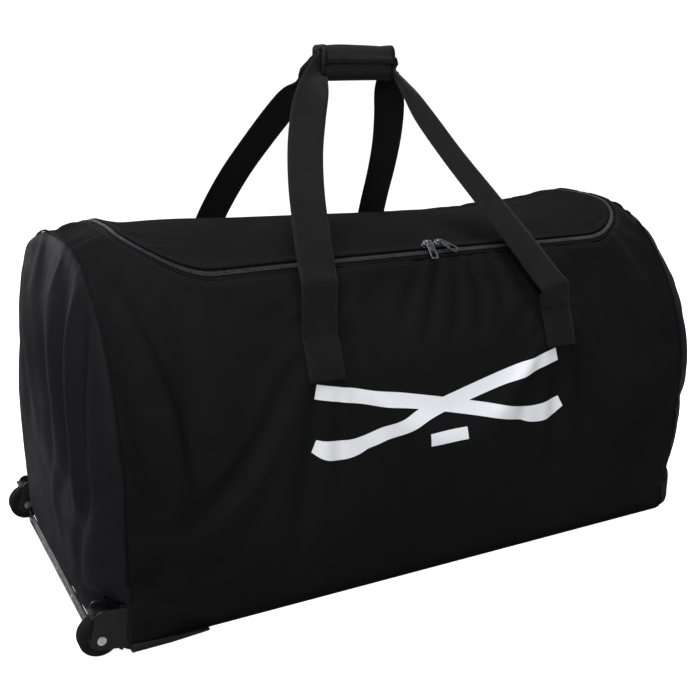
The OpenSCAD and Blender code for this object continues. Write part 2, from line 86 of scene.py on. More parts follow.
ZIP_CORNER = 0.100
LID_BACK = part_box("lid_panel")[1].y
TOP_Z = 0.40              # the whole of the zip's line lies above this height
FABRIC = 0.0024           # thickness of the cloth
FRAMES = 20               # length of a cloth simulation


# ---- Surface of the bag --------------------------------------------------------------------------

def hermite(x, xs, ys):
    """Smooth curve through the points (xs, ys)."""
    x = np.clip(np.asarray(x, float), xs[0], xs[-1])
    xs, ys = np.array(xs), np.array(ys)
    slope = np.gradient(ys, xs)
    i = np.clip(np.searchsorted(xs, x, side="right") - 1, 0, len(xs) - 2)
    h = xs[i + 1] - xs[i]
    t = (x - xs[i]) / h
    return ((1 + 2 * t) * (1 - t) ** 2 * ys[i] + t * (1 - t) ** 2 * h * slope[i]
            + t * t * (3 - 2 * t) * ys[i + 1] + t * t * (t - 1) * h * slope[i + 1])


def near(value, lo, hi, soft):
    """1 between lo and hi, falling smoothly to 0 within soft of them."""
    d = np.maximum(lo - value, value - hi)
    t = np.clip(1 - d / soft, 0, 1)
    return t * t * (3 - 2 * t)


def crown(x):
    return hermite(x, CROWN_X, CROWN_Z)


def roundness(top):
    """Power of the section's curve; it keeps the front run of the zip at one height."""
    return 2.76 - 25.0 * (top - 0.4748)


def half_at(z, top):
    """Half width of the section at height z, where the crown is at top."""
    power = roundness(top)
    u = np.clip((z - WALL_Z) / (top - WALL_Z), 0, 1)
    swell = BELLY * np.sin(np.pi * np.clip(z / 0.44, 0, 1)) ** 1.3
    return (HALF_W + swell) * np.maximum(0, 1 - u ** power) ** (1 / power)


def height_at(x, y):
    """Height of the top surface over (x, y)."""
    top = crown(x)
    power = roundness(top)
    r = np.clip(np.abs(y) / HALF_W, 0, 1)
    return WALL_Z + (top - WALL_Z) * (1 - r ** power) ** (1 / power)


def section_levels(cell):
    """Heights up one side of the section, evenly spaced along it, and the crown they were measured with."""
    top = 0.478
    u = np.sin(np.linspace(0, np.pi / 2, 400)) ** 0.9
    z = np.concatenate([np.linspace(FOOT_Z, WALL_Z, 200)[:-1], WALL_Z + u * (top - WALL_Z)])
    y = half_at(z, top)
    run = np.concatenate([[0], np.cumsum(np.hypot(np.diff(z), np.diff(y)))])
    n = round(run[-1] / cell)
    return np.interp(np.linspace(0, run[-1], n + 1), run, z), top


def section_row(level, top, x):
    """Height and half width of one level at stations x along the bag."""
    share = (level - WALL_Z) / (top - WALL_Z)
    z = np.where(level < WALL_Z, level, WALL_Z + share * (crown(x) - WALL_Z))
    return z, half_at(z, crown(x))


def cap_x(side, y, z):
    """Distance of an end panel's surface from the middle of the bag."""
    depth, dome = CAP[side]
    top = crown(side * SEAM)
    v = np.clip(z / top, 0, 1)
    u = np.clip(np.abs(y) / np.maximum(half_at(z, top), 1e-6), 0, 1)
    return (SEAM + depth * np.sqrt(np.maximum(0, 1 - v ** 9)) * np.sqrt(np.maximum(0, 1 - u ** 8))
            + dome * (1 - u * u) * np.sin(np.pi * np.clip(v ** 0.8, 0, 1)) ** 0.6)


def coons(left, right, bottom, top):
    """Grid of points filling four edge curves; left and right run up, bottom and top run across."""
    rows, cols = len(left), len(bottom)
    t = np.linspace(0, 1, rows)[:, None, None]
    s = np.linspace(0, 1, cols)[None, :, None]
    a, b, c, d = left[:, None], right[:, None], bottom[None], top[None]
    corners = ((1 - s) * (1 - t) * bottom[0] + s * (1 - t) * bottom[-1]
               + (1 - s) * t * top[0] + s * t * top[-1])
    return (1 - s) * a + s * b + (1 - t) * c + t * d - corners


def over_housing(x, z):
    """Extra width of the walls where they hang over the wheel housings."""
    return COVER * near(x, -1, -0.395, 0.05) * near(z, -1, 0.062, 0.06)


def bag_grid():
    """Points and quads of the whole skin, open underneath."""
    levels, top = section_levels(CELL)
    half = len(levels) - 1
    nx = round(2 * SEAM / CELL)
    xs = np.linspace(-SEAM, SEAM, nx + 1)
    rows = []
    for i in range(2 * half + 1):
        side, k = (-1, i) if i < half else (1, 2 * half - i)
        z, w = section_row(levels[k], top, xs)
        w = w + over_housing(xs, z)
        rows.append(np.stack([xs, side * w if k < half else 0 * xs, z], 1))
    wrap = np.array(rows)
    points = [wrap.reshape(-1, 3)]
    index = np.arange(wrap.shape[0] * wrap.shape[1]).reshape(wrap.shape[:2])
    quads = [np.stack([index[:-1, :-1], index[1:, :-1], index[1:, 1:], index[:-1, 1:]], -1).reshape(-1, 4)]
    count = index.size
    wall = int(half * 0.66)
    for side in (-1, 1):
        col = 0 if side < 0 else nx
        edge = wrap[:, col]
        left, right = edge[:wall + 1], edge[::-1][:wall + 1]
        over = edge[wall:2 * half - wall + 1]
        foot = np.linspace(edge[0], edge[-1], len(over))
        patch = coons(left, right, foot, over)
        patch[..., 0] = side * cap_x(side, patch[..., 1], patch[..., 2])
        patch[0, :, 2] = FOOT_Z
        ids = np.arange(count, count + patch[..., 0].size).reshape(patch.shape[:2])
        count += ids.size
        points.append(patch.reshape(-1, 3))
        ids[:, 0], ids[:, -1] = index[:wall + 1, col], index[::-1][:wall + 1, col]
        ids[-1] = index[wall:2 * half - wall + 1, col]
        q = np.stack([ids[:-1, :-1], ids[1:, :-1], ids[1:, 1:], ids[:-1, 1:]], -1).reshape(-1, 4)
        quads.append(q if side > 0 else q[:, ::-1])
    return np.concatenate(points), np.concatenate(quads)[:, ::-1]


def seam_ids(side):
    """Indices of the skin's points along one end seam."""
    half = len(section_levels(CELL)[0]) - 1
    nx = round(2 * SEAM / CELL)
    return np.arange(2 * half + 1) * (nx + 1) + (0 if side < 0 else nx)


def zip_distance(x, y):
    """Signed distance in plan from the zip's line, positive outside the lid."""
    cx, half = (ZIP_L + ZIP_R) / 2, (ZIP_R - ZIP_L) / 2
    qx = np.abs(x - cx) - (half - ZIP_CORNER)
    qy = -y - (ZIP_Y - ZIP_CORNER)
    outside = np.hypot(np.maximum(qx, 0), np.maximum(qy, 0))
    return outside + np.minimum(np.maximum(qx, qy), 0) - ZIP_CORNER


# ---- Meshes --------------------------------------------------------------------------------------

def linked(name, data):
    """An object that holds data, placed in the scene."""
    obj = bpy.data.objects.new(name, data)
    bpy.context.scene.collection.objects.link(obj)
    return obj


def shade_smooth(mesh):
    mesh.polygons.foreach_set("use_smooth", [True] * len(mesh.polygons))


def new_object(name, points, faces):
    mesh = bpy.data.meshes.new(name)
    mesh.from_pydata([tuple(p) for p in points], [], [tuple(int(i) for i in f) for f in faces])
    mesh.validate()
    obj = linked(name, mesh)
    shade_smooth(mesh)
    return obj


def coordinates(obj):
    co = np.empty(len(obj.data.vertices) * 3)
    obj.data.vertices.foreach_get("co", co)
    return co.reshape(-1, 3)


def set_coordinates(obj, co):
    obj.data.vertices.foreach_set("co", co.ravel())
    obj.data.update()


def normals(obj):
    obj.data.update()
    no = np.empty(len(obj.data.vertices) * 3)
    obj.data.vertices.foreach_get("normal", no)
    return no.reshape(-1, 3)


def apply_modifiers(obj):
    graph = bpy.context.evaluated_depsgraph_get()
    mesh = bpy.data.meshes.new_from_object(obj.evaluated_get(graph), depsgraph=graph)
    obj.modifiers.clear()
    old = obj.data
    obj.data = mesh
    bpy.data.meshes.remove(old)
    return obj


def segment_distance(p, path):
    """Distance from points p (n, 2) to a path of points, and the share of the path there."""
    best, share = np.full(len(p), 1e9), np.zeros(len(p))
    path = np.array(path, float)
    lengths = np.hypot(*np.diff(path, axis=0).T)
    total, before = lengths.sum(), 0.0
    for a, b, run in zip(path[:-1], path[1:], lengths):
        t = np.clip(((p - a) @ (b - a)) / run ** 2, 0, 1)
        d = np.hypot(*(p - a - t[:, None] * (b - a)).T)
        near = d < best
        best[near] = d[near]
        share[near] = (before + t[near] * run) / total
        before += run
    return best, share


# Folds on the front wall, as (path of (x, z), half width, height of the crease; negative is a valley)
FRONT_FOLDS = (
    (((-0.402, 0.435), (-0.385, 0.37), (-0.372, 0.30), (-0.366, 0.22), (-0.372, 0.15)), 0.011, 0.009),
    (((-0.388, 0.43), (-0.366, 0.36), (-0.352, 0.29), (-0.350, 0.21)), 0.009, -0.008),
    (((-0.418, 0.40), (-0.410, 0.32), (-0.400, 0.24), (-0.402, 0.17)), 0.009, -0.009),
    (((-0.425, 0.26), (-0.398, 0.20), (-0.386, 0.13), (-0.390, 0.07)), 0.010, -0.006),
    (((-0.345, 0.43), (-0.338, 0.36), (-0.345, 0.28), (-0.330, 0.19)), 0.014, -0.005),
    (((-0.320, 0.40), (-0.300, 0.30), (-0.312, 0.20)), 0.022, 0.004),
    (((-0.118, 0.42), (-0.132, 0.36), (-0.120, 0.28), (-0.128, 0.18)), 0.016, -0.006),
    (((-0.090, 0.40), (-0.102, 0.33), (-0.095, 0.24)), 0.014, 0.004),
    (((-0.215, 0.33), (-0.235, 0.25), (-0.228, 0.15)), 0.026, -0.004),
    (((0.020, 0.432), (-0.012, 0.395), (-0.040, 0.352)), 0.008, -0.006),
    (((0.045, 0.432), (0.020, 0.385), (-0.008, 0.335)), 0.008, -0.007),
    (((0.070, 0.432), (0.058, 0.385), (0.035, 0.330)), 0.008, -0.006),
    (((0.094, 0.432), (0.094, 0.385), (0.080, 0.335)), 0.008, -0.007),
    (((0.118, 0.432), (0.128, 0.390), (0.128, 0.345)), 0.008, -0.005),
    (((0.142, 0.432), (0.160, 0.392), (0.176, 0.352), (0.186, 0.315)), 0.008, -0.008),
    (((0.126, 0.436), (0.150, 0.400), (0.163, 0.365)), 0.006, 0.004),
    (((0.235, 0.40), (0.245, 0.33), (0.232, 0.26), (0.245, 0.16)), 0.014, -0.006),
    (((0.262, 0.42), (0.282, 0.34), (0.300, 0.25)), 0.016, -0.005),
    (((0.330, 0.43), (0.350, 0.36), (0.385, 0.27), (0.405, 0.18)), 0.014, -0.006),
    (((0.360, 0.43), (0.385, 0.36), (0.410, 0.28)), 0.010, 0.005),
    (((-0.10, 0.26), (0.10, 0.235), (0.27, 0.25)), 0.040, -0.003),
)
# Folds on the wheel end, as (path of (y, z), half width, height)
END_FOLDS = (
    (((-0.165, 0.42), (-0.185, 0.36), (-0.196, 0.27), (-0.190, 0.16)), 0.010, -0.009),
    (((-0.140, 0.43), (-0.165, 0.35), (-0.176, 0.26), (-0.168, 0.15)), 0.011, 0.008),
    (((-0.100, 0.44), (-0.132, 0.36), (-0.148, 0.27), (-0.142, 0.18)), 0.012, -0.010),
    (((-0.050, 0.45), (-0.098, 0.38), (-0.112, 0.28), (-0.098, 0.19)), 0.018, 0.008),
    (((0.020, 0.44), (-0.030, 0.36), (-0.056, 0.26), (-0.050, 0.17)), 0.020, -0.009),
    (((0.090, 0.42), (0.040, 0.32), (0.020, 0.22)), 0.026, 0.007),
    (((-0.205, 0.22), (-0.178, 0.16), (-0.150, 0.11), (-0.160, 0.07)), 0.012, -0.009),
    (((-0.150, 0.24), (-0.120, 0.19), (-0.085, 0.16)), 0.012, -0.007),
    (((-0.080, 0.20), (-0.060, 0.15), (-0.075, 0.10)), 0.016, 0.006),
    (((0.100, 0.40), (0.120, 0.30), (0.090, 0.20)), 0.028, -0.008),
    (((0.19, 0.046), (0.10, 0.038), (0.0, 0.034), (-0.10, 0.040), (-0.19, 0.066)), 0.006, -0.007),
    (((0.19, 0.066), (0.10, 0.056), (0.0, 0.052), (-0.10, 0.058), (-0.19, 0.086)), 0.010, 0.007),
)


def crease(obj):
    """Presses the listed folds into the skin, along its normals."""
    co, no = coordinates(obj), normals(obj)
    lift = np.zeros(len(co))
    front = (no[:, 1] < -0.3) & (np.abs(co[:, 0]) <= SEAM + 1e-4)
    end = no[:, 0] < -0.5
    for mask, columns, folds in ((front, [0, 2], FRONT_FOLDS), (end, [1, 2], END_FOLDS)):
        for path, width, height in folds:
            d, share = segment_distance(co[:, columns], path)
            ends = np.sin(np.pi * np.clip(share, 0.02, 0.98)) ** 0.5
            lift += mask * height * ends * np.exp(-(d / width) ** 2)
    set_coordinates(obj, co + no * lift[:, None])


def run_cloth(obj, weights, most, mass, stretch, shear, bending, pressure, gravity, shrink=0.0):
    """Relaxes obj with the cloth simulation, held by the weights; no point moves further than most."""
    group = obj.vertex_groups.new(name="held")
    for i in np.flatnonzero(weights > 0):
        group.add([int(i)], float(weights[i]), "REPLACE")
    cloth = obj.modifiers.new("cloth", "CLOTH")
    s = cloth.settings
    s.quality = 5
    s.mass = mass
    s.tension_stiffness = s.compression_stiffness = stretch
    s.shear_stiffness = shear
    s.bending_stiffness = bending
    s.use_pressure = True
    s.uniform_pressure_force = pressure
    s.vertex_group_mass = "held"
    s.shrink_min = shrink
    s.effector_weights.gravity = gravity
    cloth.collision_settings.use_collision = False
    cloth.point_cache.frame_start, cloth.point_cache.frame_end = 1, FRAMES
    before = coordinates(obj)
    for f in range(1, FRAMES + 1):
        bpy.context.scene.frame_set(f)
    apply_modifiers(obj)
    move = coordinates(obj) - before
    far = np.linalg.norm(move, axis=1, keepdims=True)
    set_coordinates(obj, before + move * most * np.tanh(far / most) / np.maximum(far, 1e-9))
    obj.vertex_groups.clear()
    bpy.context.scene.frame_set(1)


def sewn_weights(rest):
    """How firmly each point of the skin is held: fully where it is sewn or stiff, less at the end seams."""
    x, y, z = rest.T
    top = z > TOP_Z
    pinned = near(z, -1, 0.012, 0.01)
    along_zip = near(np.abs(zip_distance(x, y)), -1, 0.008, 0.012) * (np.abs(x) < SEAM)
    pinned = np.maximum(pinned, top * along_zip)
    pinned = np.maximum(pinned, top * near(y, LID_BACK - 0.004, LID_BACK + 0.004, 0.008))
    for lo, hi in anchor_boxes.values():
        on_wall = (y * lo.y > 0) * (np.abs(y) > 0.1)
        pinned = np.maximum(pinned, near(x, lo.x, hi.x, 0.01) * near(z, lo.z, hi.z, 0.01) * on_wall)
    return np.maximum(pinned, 0.35 * (np.abs(np.abs(x) - SEAM) < 1e-4))


def make_skin():
    """The whole skin, folded and relaxed, and the flat rest position of each of its points."""
    points, quads = bag_grid()
    skin = new_object("skin", points, quads)
    rest = coordinates(skin)
    for poly in skin.data.polygons:
        poly.material_index = 2 if abs(rest[list(poly.vertices)][:, 0].mean()) > SEAM + 1e-5 else 0
    cloth_map(skin, rest)
    no = normals(skin)
    tuck = FOOT_ROUND - np.sqrt(FOOT_ROUND ** 2 - np.clip(FOOT_ROUND - rest[:, 2], 0, FOOT_ROUND) ** 2)
    no[:, 2] = 0
    set_coordinates(skin, rest - no * tuck[:, None])
    crease(skin)
    run_cloth(skin, sewn_weights(rest), most=0.012, mass=0.25, stretch=18, shear=6, bending=1.2,
              pressure=3.2, gravity=0.35, shrink=-0.022)
    co = coordinates(skin)
    spare = over_housing(rest[:, 0], rest[:, 2])
    wall = (spare > 0.0005) & (np.abs(rest[:, 1]) > HALF_W - 0.001)
    least = HALF_W + spare * 0.9 - tuck
    co[wall, 1] = (np.sign(co[:, 1]) * np.maximum(np.abs(co[:, 1]), least))[wall]
    set_coordinates(skin, co)
    return skin, rest


def cloth_map(obj, rest):
    """Lays the weave's coordinates, in metres, along the walls and over the ends."""
    layer = obj.data.uv_layers.new(name="cloth")
    for poly in obj.data.polygons:
        c = rest[list(poly.vertices)].mean(0)
        end = abs(c[0]) > SEAM + 1e-5
        for loop in poly.loop_indices:
            v = rest[obj.data.loops[loop].vertex_index]
            if end:
                layer.data[loop].uv = (v[1], v[2])
            elif c[2] < 0.36:
                layer.data[loop].uv = (v[0], v[2])
            else:
                layer.data[loop].uv = (v[0], v[1])


# ---- Cutting the skin along the zip --------------------------------------------------------------

def subdivided(obj, rest):
    """One Catmull-Clark level, with the flat rest position of each vertex carried along."""
    layer = obj.data.attributes.new("rest", "FLOAT_VECTOR", "POINT")
    layer.data.foreach_set("vector", rest.ravel())
    mod = obj.modifiers.new("smooth", "SUBSURF")
    mod.levels = mod.render_levels = 1
    mod.boundary_smooth = "PRESERVE_CORNERS"
    apply_modifiers(obj)


def cut_at(bm, rest_layer, field, level):
    """Splits the faces of bm along the line where field(rest) is level."""
    value = {v: float(field(v[rest_layer])) - level for v in bm.verts}
    crossing = [e for e in bm.edges if (value[e.verts[0]] > 0) != (value[e.verts[1]] > 0)
                and abs(value[e.verts[0]]) < 0.03 and abs(value[e.verts[1]]) < 0.03]
    faces, made = set(), set()
    for e in crossing:
        a, b = e.verts
        t = value[a] / (value[a] - value[b])
        faces.update(e.link_faces)
        rest = a[rest_layer].lerp(b[rest_layer], t)
        _, v = bmesh.utils.edge_split(e, a, t)
        v[rest_layer] = rest
        made.add(v)
    for f in list(faces):
        cut = [v for v in f.verts if v in made]
        if len(cut) == 2:
            bmesh.utils.face_split(f, cut[0], cut[1])


def notch_field(p):
    """Distance outside the corner cut out for a wheel housing."""
    return max(p.x - NOTCH_X, NOTCH_Y - abs(p.y), p.z - NOTCH_Z)


ZIP_GAP = 0.0052          # half the width between the two fabric edges


def split_skin(skin):
    """Cuts the skin into the lid and the body."""
    pieces = []
    for name, keep in (("bag_lid", -1), ("bag_body", 1)):
        bm = bmesh.new()
        bm.from_mesh(skin.data)
        layer = bm.verts.layers.float_vector["rest"]
        zip_line = lambda p: float(zip_distance(p.x, p.y)) if p.z > TOP_Z and abs(p.x) < SEAM else 0.2
        back_line = lambda p: p.y - LID_BACK if p.z > TOP_Z else 0.2
        cut_at(bm, layer, zip_line, keep * ZIP_GAP)
        cut_at(bm, layer, back_line, 0.0)
        if keep > 0:
            cut_at(bm, layer, notch_field, 0.0)
        drop = []
        for f in bm.faces:
            c = sum((v[layer] for v in f.verts), Vector()) / len(f.verts)
            in_lid = max(zip_line(c) + ZIP_GAP, back_line(c)) < 0
            in_body = zip_line(c) > ZIP_GAP or back_line(c) > 0
            if not (in_lid if keep < 0 else in_body and notch_field(c) > 0):
                drop.append(f)
        bmesh.ops.delete(bm, geom=drop, context="FACES")
        mesh = bpy.data.meshes.new(name)
        bm.to_mesh(mesh)
        bm.free()
        obj = linked(name, mesh)
        shade_smooth(mesh)
        solid = obj.modifiers.new("thickness", "SOLIDIFY")
        solid.thickness = FABRIC
        solid.offset = -1
        solid.material_offset = 1
        for m in ("panel", "lining", "end", "lining"):
            mesh.materials.append(mats[m])
        apply_modifiers(obj)
        pieces.append(obj)
    bpy.data.objects.remove(skin)
    return pieces


# ---- Materials -----------------------------------------------------------------------------------

def material(name, color, roughness, specular=0.5, metallic=0.0, sheen=0.0):
    """A material with its shader, ready for colour, roughness and bump nodes."""
    mat = bpy.data.materials.new(name)
    mat.use_nodes = True
    shader = mat.node_tree.nodes["Principled BSDF"]
    shader.inputs["Base Color"].default_value = (*color, 1)
    shader.inputs["Roughness"].default_value = roughness
    shader.inputs["Specular IOR Level"].default_value = specular
    shader.inputs["Metallic"].default_value = metallic
    shader.inputs["Sheen Weight"].default_value = sheen
    return mat, mat.node_tree, shader


def noise(tree, scale, detail, stretch=(1, 1, 1)):
    """A noise texture in the object's own space, stretched along its axes."""
    place = tree.nodes.new("ShaderNodeTexCoord")
    mapping = tree.nodes.new("ShaderNodeMapping")
    mapping.inputs["Scale"].default_value = stretch
    tree.links.new(place.outputs["Object"], mapping.inputs["Vector"])
    tex = tree.nodes.new("ShaderNodeTexNoise")
    tex.inputs["Scale"].default_value = scale
    tex.inputs["Detail"].default_value = detail
    tree.links.new(mapping.outputs["Vector"], tex.inputs["Vector"])
    return tex.outputs["Fac"]


def remap(tree, value, low, high, start=0.3, stop=0.7):
    """value, from start..stop, spread over low..high."""
    n = tree.nodes.new("ShaderNodeMapRange")
    for key, number in (("From Min", start), ("From Max", stop), ("To Min", low), ("To Max", high)):
        n.inputs[key].default_value = number
    tree.links.new(value, n.inputs["Value"])
    return n.outputs["Result"]


def bands(tree, pitch, axis, distortion=0.3):
    """Fine parallel ribs, pitch metres apart."""
    place = tree.nodes.new("ShaderNodeTexCoord")
    wave = tree.nodes.new("ShaderNodeTexWave")
    wave.bands_direction = axis
    wave.inputs["Scale"].default_value = 2 * math.pi / (20 * pitch)
    wave.inputs["Distortion"].default_value = distortion
    tree.links.new(place.outputs["UV"], wave.inputs["Vector"])
    return wave.outputs["Fac"]


def combine(tree, operation, a, b):
    n = tree.nodes.new("ShaderNodeMath")
    n.operation = operation
    for socket, value in zip(n.inputs, (a, b)):
        if isinstance(value, (int, float)):
            socket.default_value = value
        else:
            tree.links.new(value, socket)
    return n.outputs["Value"]


def bump(tree, shader, layers):
    """Stacks bumps: (height, strength, distance) from the coarsest to the finest."""
    normal = None
    for height, strength, distance in layers:
        n = tree.nodes.new("ShaderNodeBump")
        n.inputs["Strength"].default_value = strength
        n.inputs["Distance"].default_value = distance
        tree.links.new(height, n.inputs["Height"])
        if normal:
            tree.links.new(normal, n.inputs["Normal"])
        normal = n.outputs["Normal"]
    tree.links.new(normal, shader.inputs["Normal"])


def tint(tree, shader, color, factor):
    """Base colour times a varying factor."""
    n = tree.nodes.new("ShaderNodeVectorMath")
    n.operation = "SCALE"
    n.inputs[0].default_value = color
    tree.links.new(factor, n.inputs["Scale"])
    tree.links.new(n.outputs["Vector"], shader.inputs["Base Color"])


def cloth_material(name, color, roughness=0.70, specular=0.022, pitch=0.0009):
    """Woven polyester: plain weave, slack crumples, faint rubbed patches."""
    mat, tree, shader = material(name, color, roughness, specular)
    weave = combine(tree, "MULTIPLY", bands(tree, pitch, "X"), bands(tree, pitch * 0.8, "Y"))
    patches = noise(tree, 6.0, 6.0)
    threads = combine(tree, "MULTIPLY", remap(tree, weave, 0.82, 1.1, 0, 1),
                      remap(tree, patches, 0.86, 1.16))
    tint(tree, shader, color, threads)
    tree.links.new(remap(tree, noise(tree, 22.0, 4.0), roughness - 0.07, roughness + 0.08),
                   shader.inputs["Roughness"])
    bump(tree, shader, ((noise(tree, 13.0, 3.0), 0.30, 0.004),
                        (noise(tree, 60.0, 4.0), 0.16, 0.0008),
                        (weave, 0.35, 0.00015)))
    return mat


def webbing_material(name, color):
    """Ribbed webbing: close cross ribs with a diagonal twill between denser edges."""
    roughness = 0.55
    mat, tree, shader = material(name, color, roughness, specular=0.08, sheen=0.05)
    ribs = bands(tree, 0.0016, "Y", distortion=0.15)
    twill = bands(tree, 0.0022, "DIAGONAL", distortion=0.2)
    both = combine(tree, "ADD", combine(tree, "MULTIPLY", ribs, 0.7), combine(tree, "MULTIPLY", twill, 0.3))
    worn = noise(tree, 45.0, 5.0)
    shade = combine(tree, "MULTIPLY", remap(tree, both, 0.7, 1.2, 0, 1), remap(tree, worn, 0.85, 1.15))
    tint(tree, shader, color, shade)
    tree.links.new(remap(tree, worn, roughness - 0.08, roughness + 0.1), shader.inputs["Roughness"])
    bump(tree, shader, ((noise(tree, 30.0, 2.0), 0.25, 0.002), (both, 0.7, 0.00035)))
    return mat


def moulded_material(name, color, roughness=0.38, specular=0.5):
    """Moulded plastic: fine grain, uneven gloss and scuffs."""
    mat, tree, shader = material(name, color, roughness, specular)
    scuffs = noise(tree, 180.0, 5.0, stretch=(1, 1, 5))
    tint(tree, shader, color, remap(tree, noise(tree, 40.0, 5.0), 0.8, 1.3))
    tree.links.new(remap(tree, scuffs, roughness - 0.12, roughness + 0.2), shader.inputs["Roughness"])
    bump(tree, shader, ((noise(tree, 90.0, 4.0), 0.15, 0.0006), (noise(tree, 1400.0, 2.0), 0.2, 0.0001)))
    return mat


def rubber_material(name, color):
    mat, tree, shader = material(name, color, 0.7, 0.12)
    dust = noise(tree, 120.0, 6.0)
    tint(tree, shader, color, remap(tree, dust, 0.7, 1.8, 0.45, 0.75))
    tree.links.new(remap(tree, dust, 0.65, 0.95), shader.inputs["Roughness"])
    bump(tree, shader, ((noise(tree, 500.0, 3.0), 0.3, 0.0003),))
    return mat


def metal_material(name, color, roughness):
    """Plated zinc: brushed, rubbed brighter on high spots."""
    mat, tree, shader = material(name, color, roughness, 0.5, 1.0)
    brushed = noise(tree, 600.0, 3.0, stretch=(6, 1, 1))
    tint(tree, shader, color, remap(tree, noise(tree, 200.0, 4.0), 0.7, 1.25))
    tree.links.new(remap(tree, brushed, roughness - 0.08, roughness + 0.15), shader.inputs["Roughness"])
    bump(tree, shader, ((brushed, 0.15, 0.0001),))
    return mat


def thread_material(name, color):
    mat, tree, shader = material(name, color, 0.5, 0.2)
    twist = noise(tree, 900.0, 2.0)
    tint(tree, shader, color, remap(tree, twist, 0.7, 1.3))
    bump(tree, shader, ((twist, 0.4, 0.0001),))
    return mat


def print_material(name, color):
    """Screen-printed ink: nearly white, with the weave just showing through."""
    mat, tree, shader = material(name, color, 0.5, 0.3)
    weave = combine(tree, "MULTIPLY", bands(tree, 0.0009, "X"), bands(tree, 0.0008, "Y"))
    tint(tree, shader, color, combine(tree, "MULTIPLY", remap(tree, weave, 0.95, 1.0, 0, 1),
                                      remap(tree, noise(tree, 400.0, 4.0), 0.96, 1.02)))
    bump(tree, shader, ((weave, 0.3, 0.0001),))
    return mat


BLACK = (0.0074, 0.0074, 0.0079)
mats = {
    "panel": cloth_material("panel_cloth", BLACK),
    # painted light: the end panels take the panels' black cloth in a lighter colour, which stands for the
    # brighter light that falls on the ends
    "end": cloth_material("end_cloth_painted_lighter", (0.0108, 0.0108, 0.0130), roughness=0.62, specular=0.03),
    "lining": cloth_material("lining_cloth", (0.022, 0.022, 0.024), pitch=0.0006, roughness=0.5),
    "tape": cloth_material("zip_tape", (0.0050, 0.0050, 0.0055), pitch=0.0007),
    "binding": webbing_material("binding_tape", (0.0055, 0.0055, 0.0060)),
    "webbing": webbing_material("webbing", (0.0058, 0.0058, 0.0061)),
    "grip": cloth_material("grip_cloth", (0.0165, 0.0165, 0.0170), roughness=0.6, specular=0.07),
    "coil": moulded_material("coil_nylon", (0.034, 0.034, 0.036), roughness=0.3),
    "slider": metal_material("slider_plate", (0.22, 0.22, 0.225), 0.26),
    "tab": metal_material("tab_plate", (0.16, 0.16, 0.165), 0.28),
    "rivet": metal_material("rivet_steel", (0.5, 0.5, 0.51), 0.3),
    "housing": moulded_material("housing_plastic", (0.0045, 0.0045, 0.0048), roughness=0.34, specular=0.22),
    "skid": moulded_material("skid_plastic", (0.0045, 0.0045, 0.0048), roughness=0.22, specular=0.4),
    "hub": moulded_material("hub_plastic", (0.006, 0.006, 0.0065), roughness=0.4, specular=0.25),
    "bush": moulded_material("bush_nylon", (0.05, 0.05, 0.05), roughness=0.5),
    "tyre": rubber_material("tyre_rubber", (0.0055, 0.0055, 0.0055)),
    "board": moulded_material("board_sheet", (0.006, 0.006, 0.0065), roughness=0.6, specular=0.1),
    "thread": thread_material("thread", (0.012, 0.012, 0.013)),
    "print": print_material("print_ink", (0.74, 0.76, 0.80)),
}


# ---- Shapes --------------------------------------------------------------------------------------

CRISP = 0.6               # angle between two faces, in radians, that keeps their edge sharp


def unit(v):
    v = np.asarray(v, float)
    return v / np.maximum(np.linalg.norm(v, axis=-1, keepdims=True), 1e-12)


def run_along(path):
    """Distance travelled along a path at each of its points."""
    return np.concatenate([[0], np.cumsum(np.linalg.norm(np.diff(path, axis=0), axis=1))])


def rows_of(spots):
    """Splits (place, normal) pairs into the array of places and the array of normals."""
    places, ups = zip(*spots)
    return np.array(places), np.array(ups)


def smooth_path(keys, step):
    """Points evenly step apart on a Catmull-Rom curve through keys; keys may have any number of columns,
    the first three being the place."""
    keys = np.asarray(keys, float)
    p = np.concatenate([[2 * keys[0] - keys[1]], keys, [2 * keys[-1] - keys[-2]]])
    out = []
    for i in range(1, len(p) - 2):
        t = np.linspace(0, 1, 40, endpoint=False)[:, None]
        a, b, c, d = p[i - 1:i + 3]
        out.append(0.5 * (2 * b + (c - a) * t + (2 * a - 5 * b + 4 * c - d) * t ** 2
                          + (3 * b - a - 3 * c + d) * t ** 3))
    line = np.concatenate(out + [keys[-1:]])
    run = run_along(line[:, :3])
    n = max(2, round(run[-1] / step))
    at = np.linspace(0, run[-1], n + 1)
    return np.stack([np.interp(at, run, line[:, k]) for k in range(line.shape[1])], 1)


def rings_object(name, rings, uv=None, closed=False):
    """Skin over rings (n, m, 3) of points, capped unless it is closed; uv is (n, m + 1, 2)."""
    rings = np.asarray(rings)
    n, m = rings.shape[:2]
    faces, uvs = [], []
    for i in range(n if closed else n - 1):
        k = (i + 1) % n
        for j in range(m):
            j2 = (j + 1) % m
            faces.append((i * m + j, i * m + j2, k * m + j2, k * m + j))
            if uv is not None:
                uvs += [uv[i, j], uv[i, j + 1], uv[i + 1, j + 1], uv[i + 1, j]]
    if not closed:
        for i, order in ((0, range(m - 1, -1, -1)), (n - 1, range(m))):
            faces.append(tuple(i * m + j for j in order))
            if uv is not None:
                uvs += [uv[i, j] for j in order]
    mesh = bpy.data.meshes.new(name)
    mesh.from_pydata([tuple(p) for p in rings.reshape(-1, 3)], [], faces)
    if uv is not None:
        mesh.uv_layers.new(name="cloth").data.foreach_set("uv", np.array(uvs).ravel())
    shade_smooth(mesh)
    obj = linked(name, mesh)
    bm = bmesh.new()
    bm.from_mesh(mesh)
    bmesh.ops.recalc_face_normals(bm, faces=bm.faces)
    bm.to_mesh(mesh)
    bm.free()
    return obj


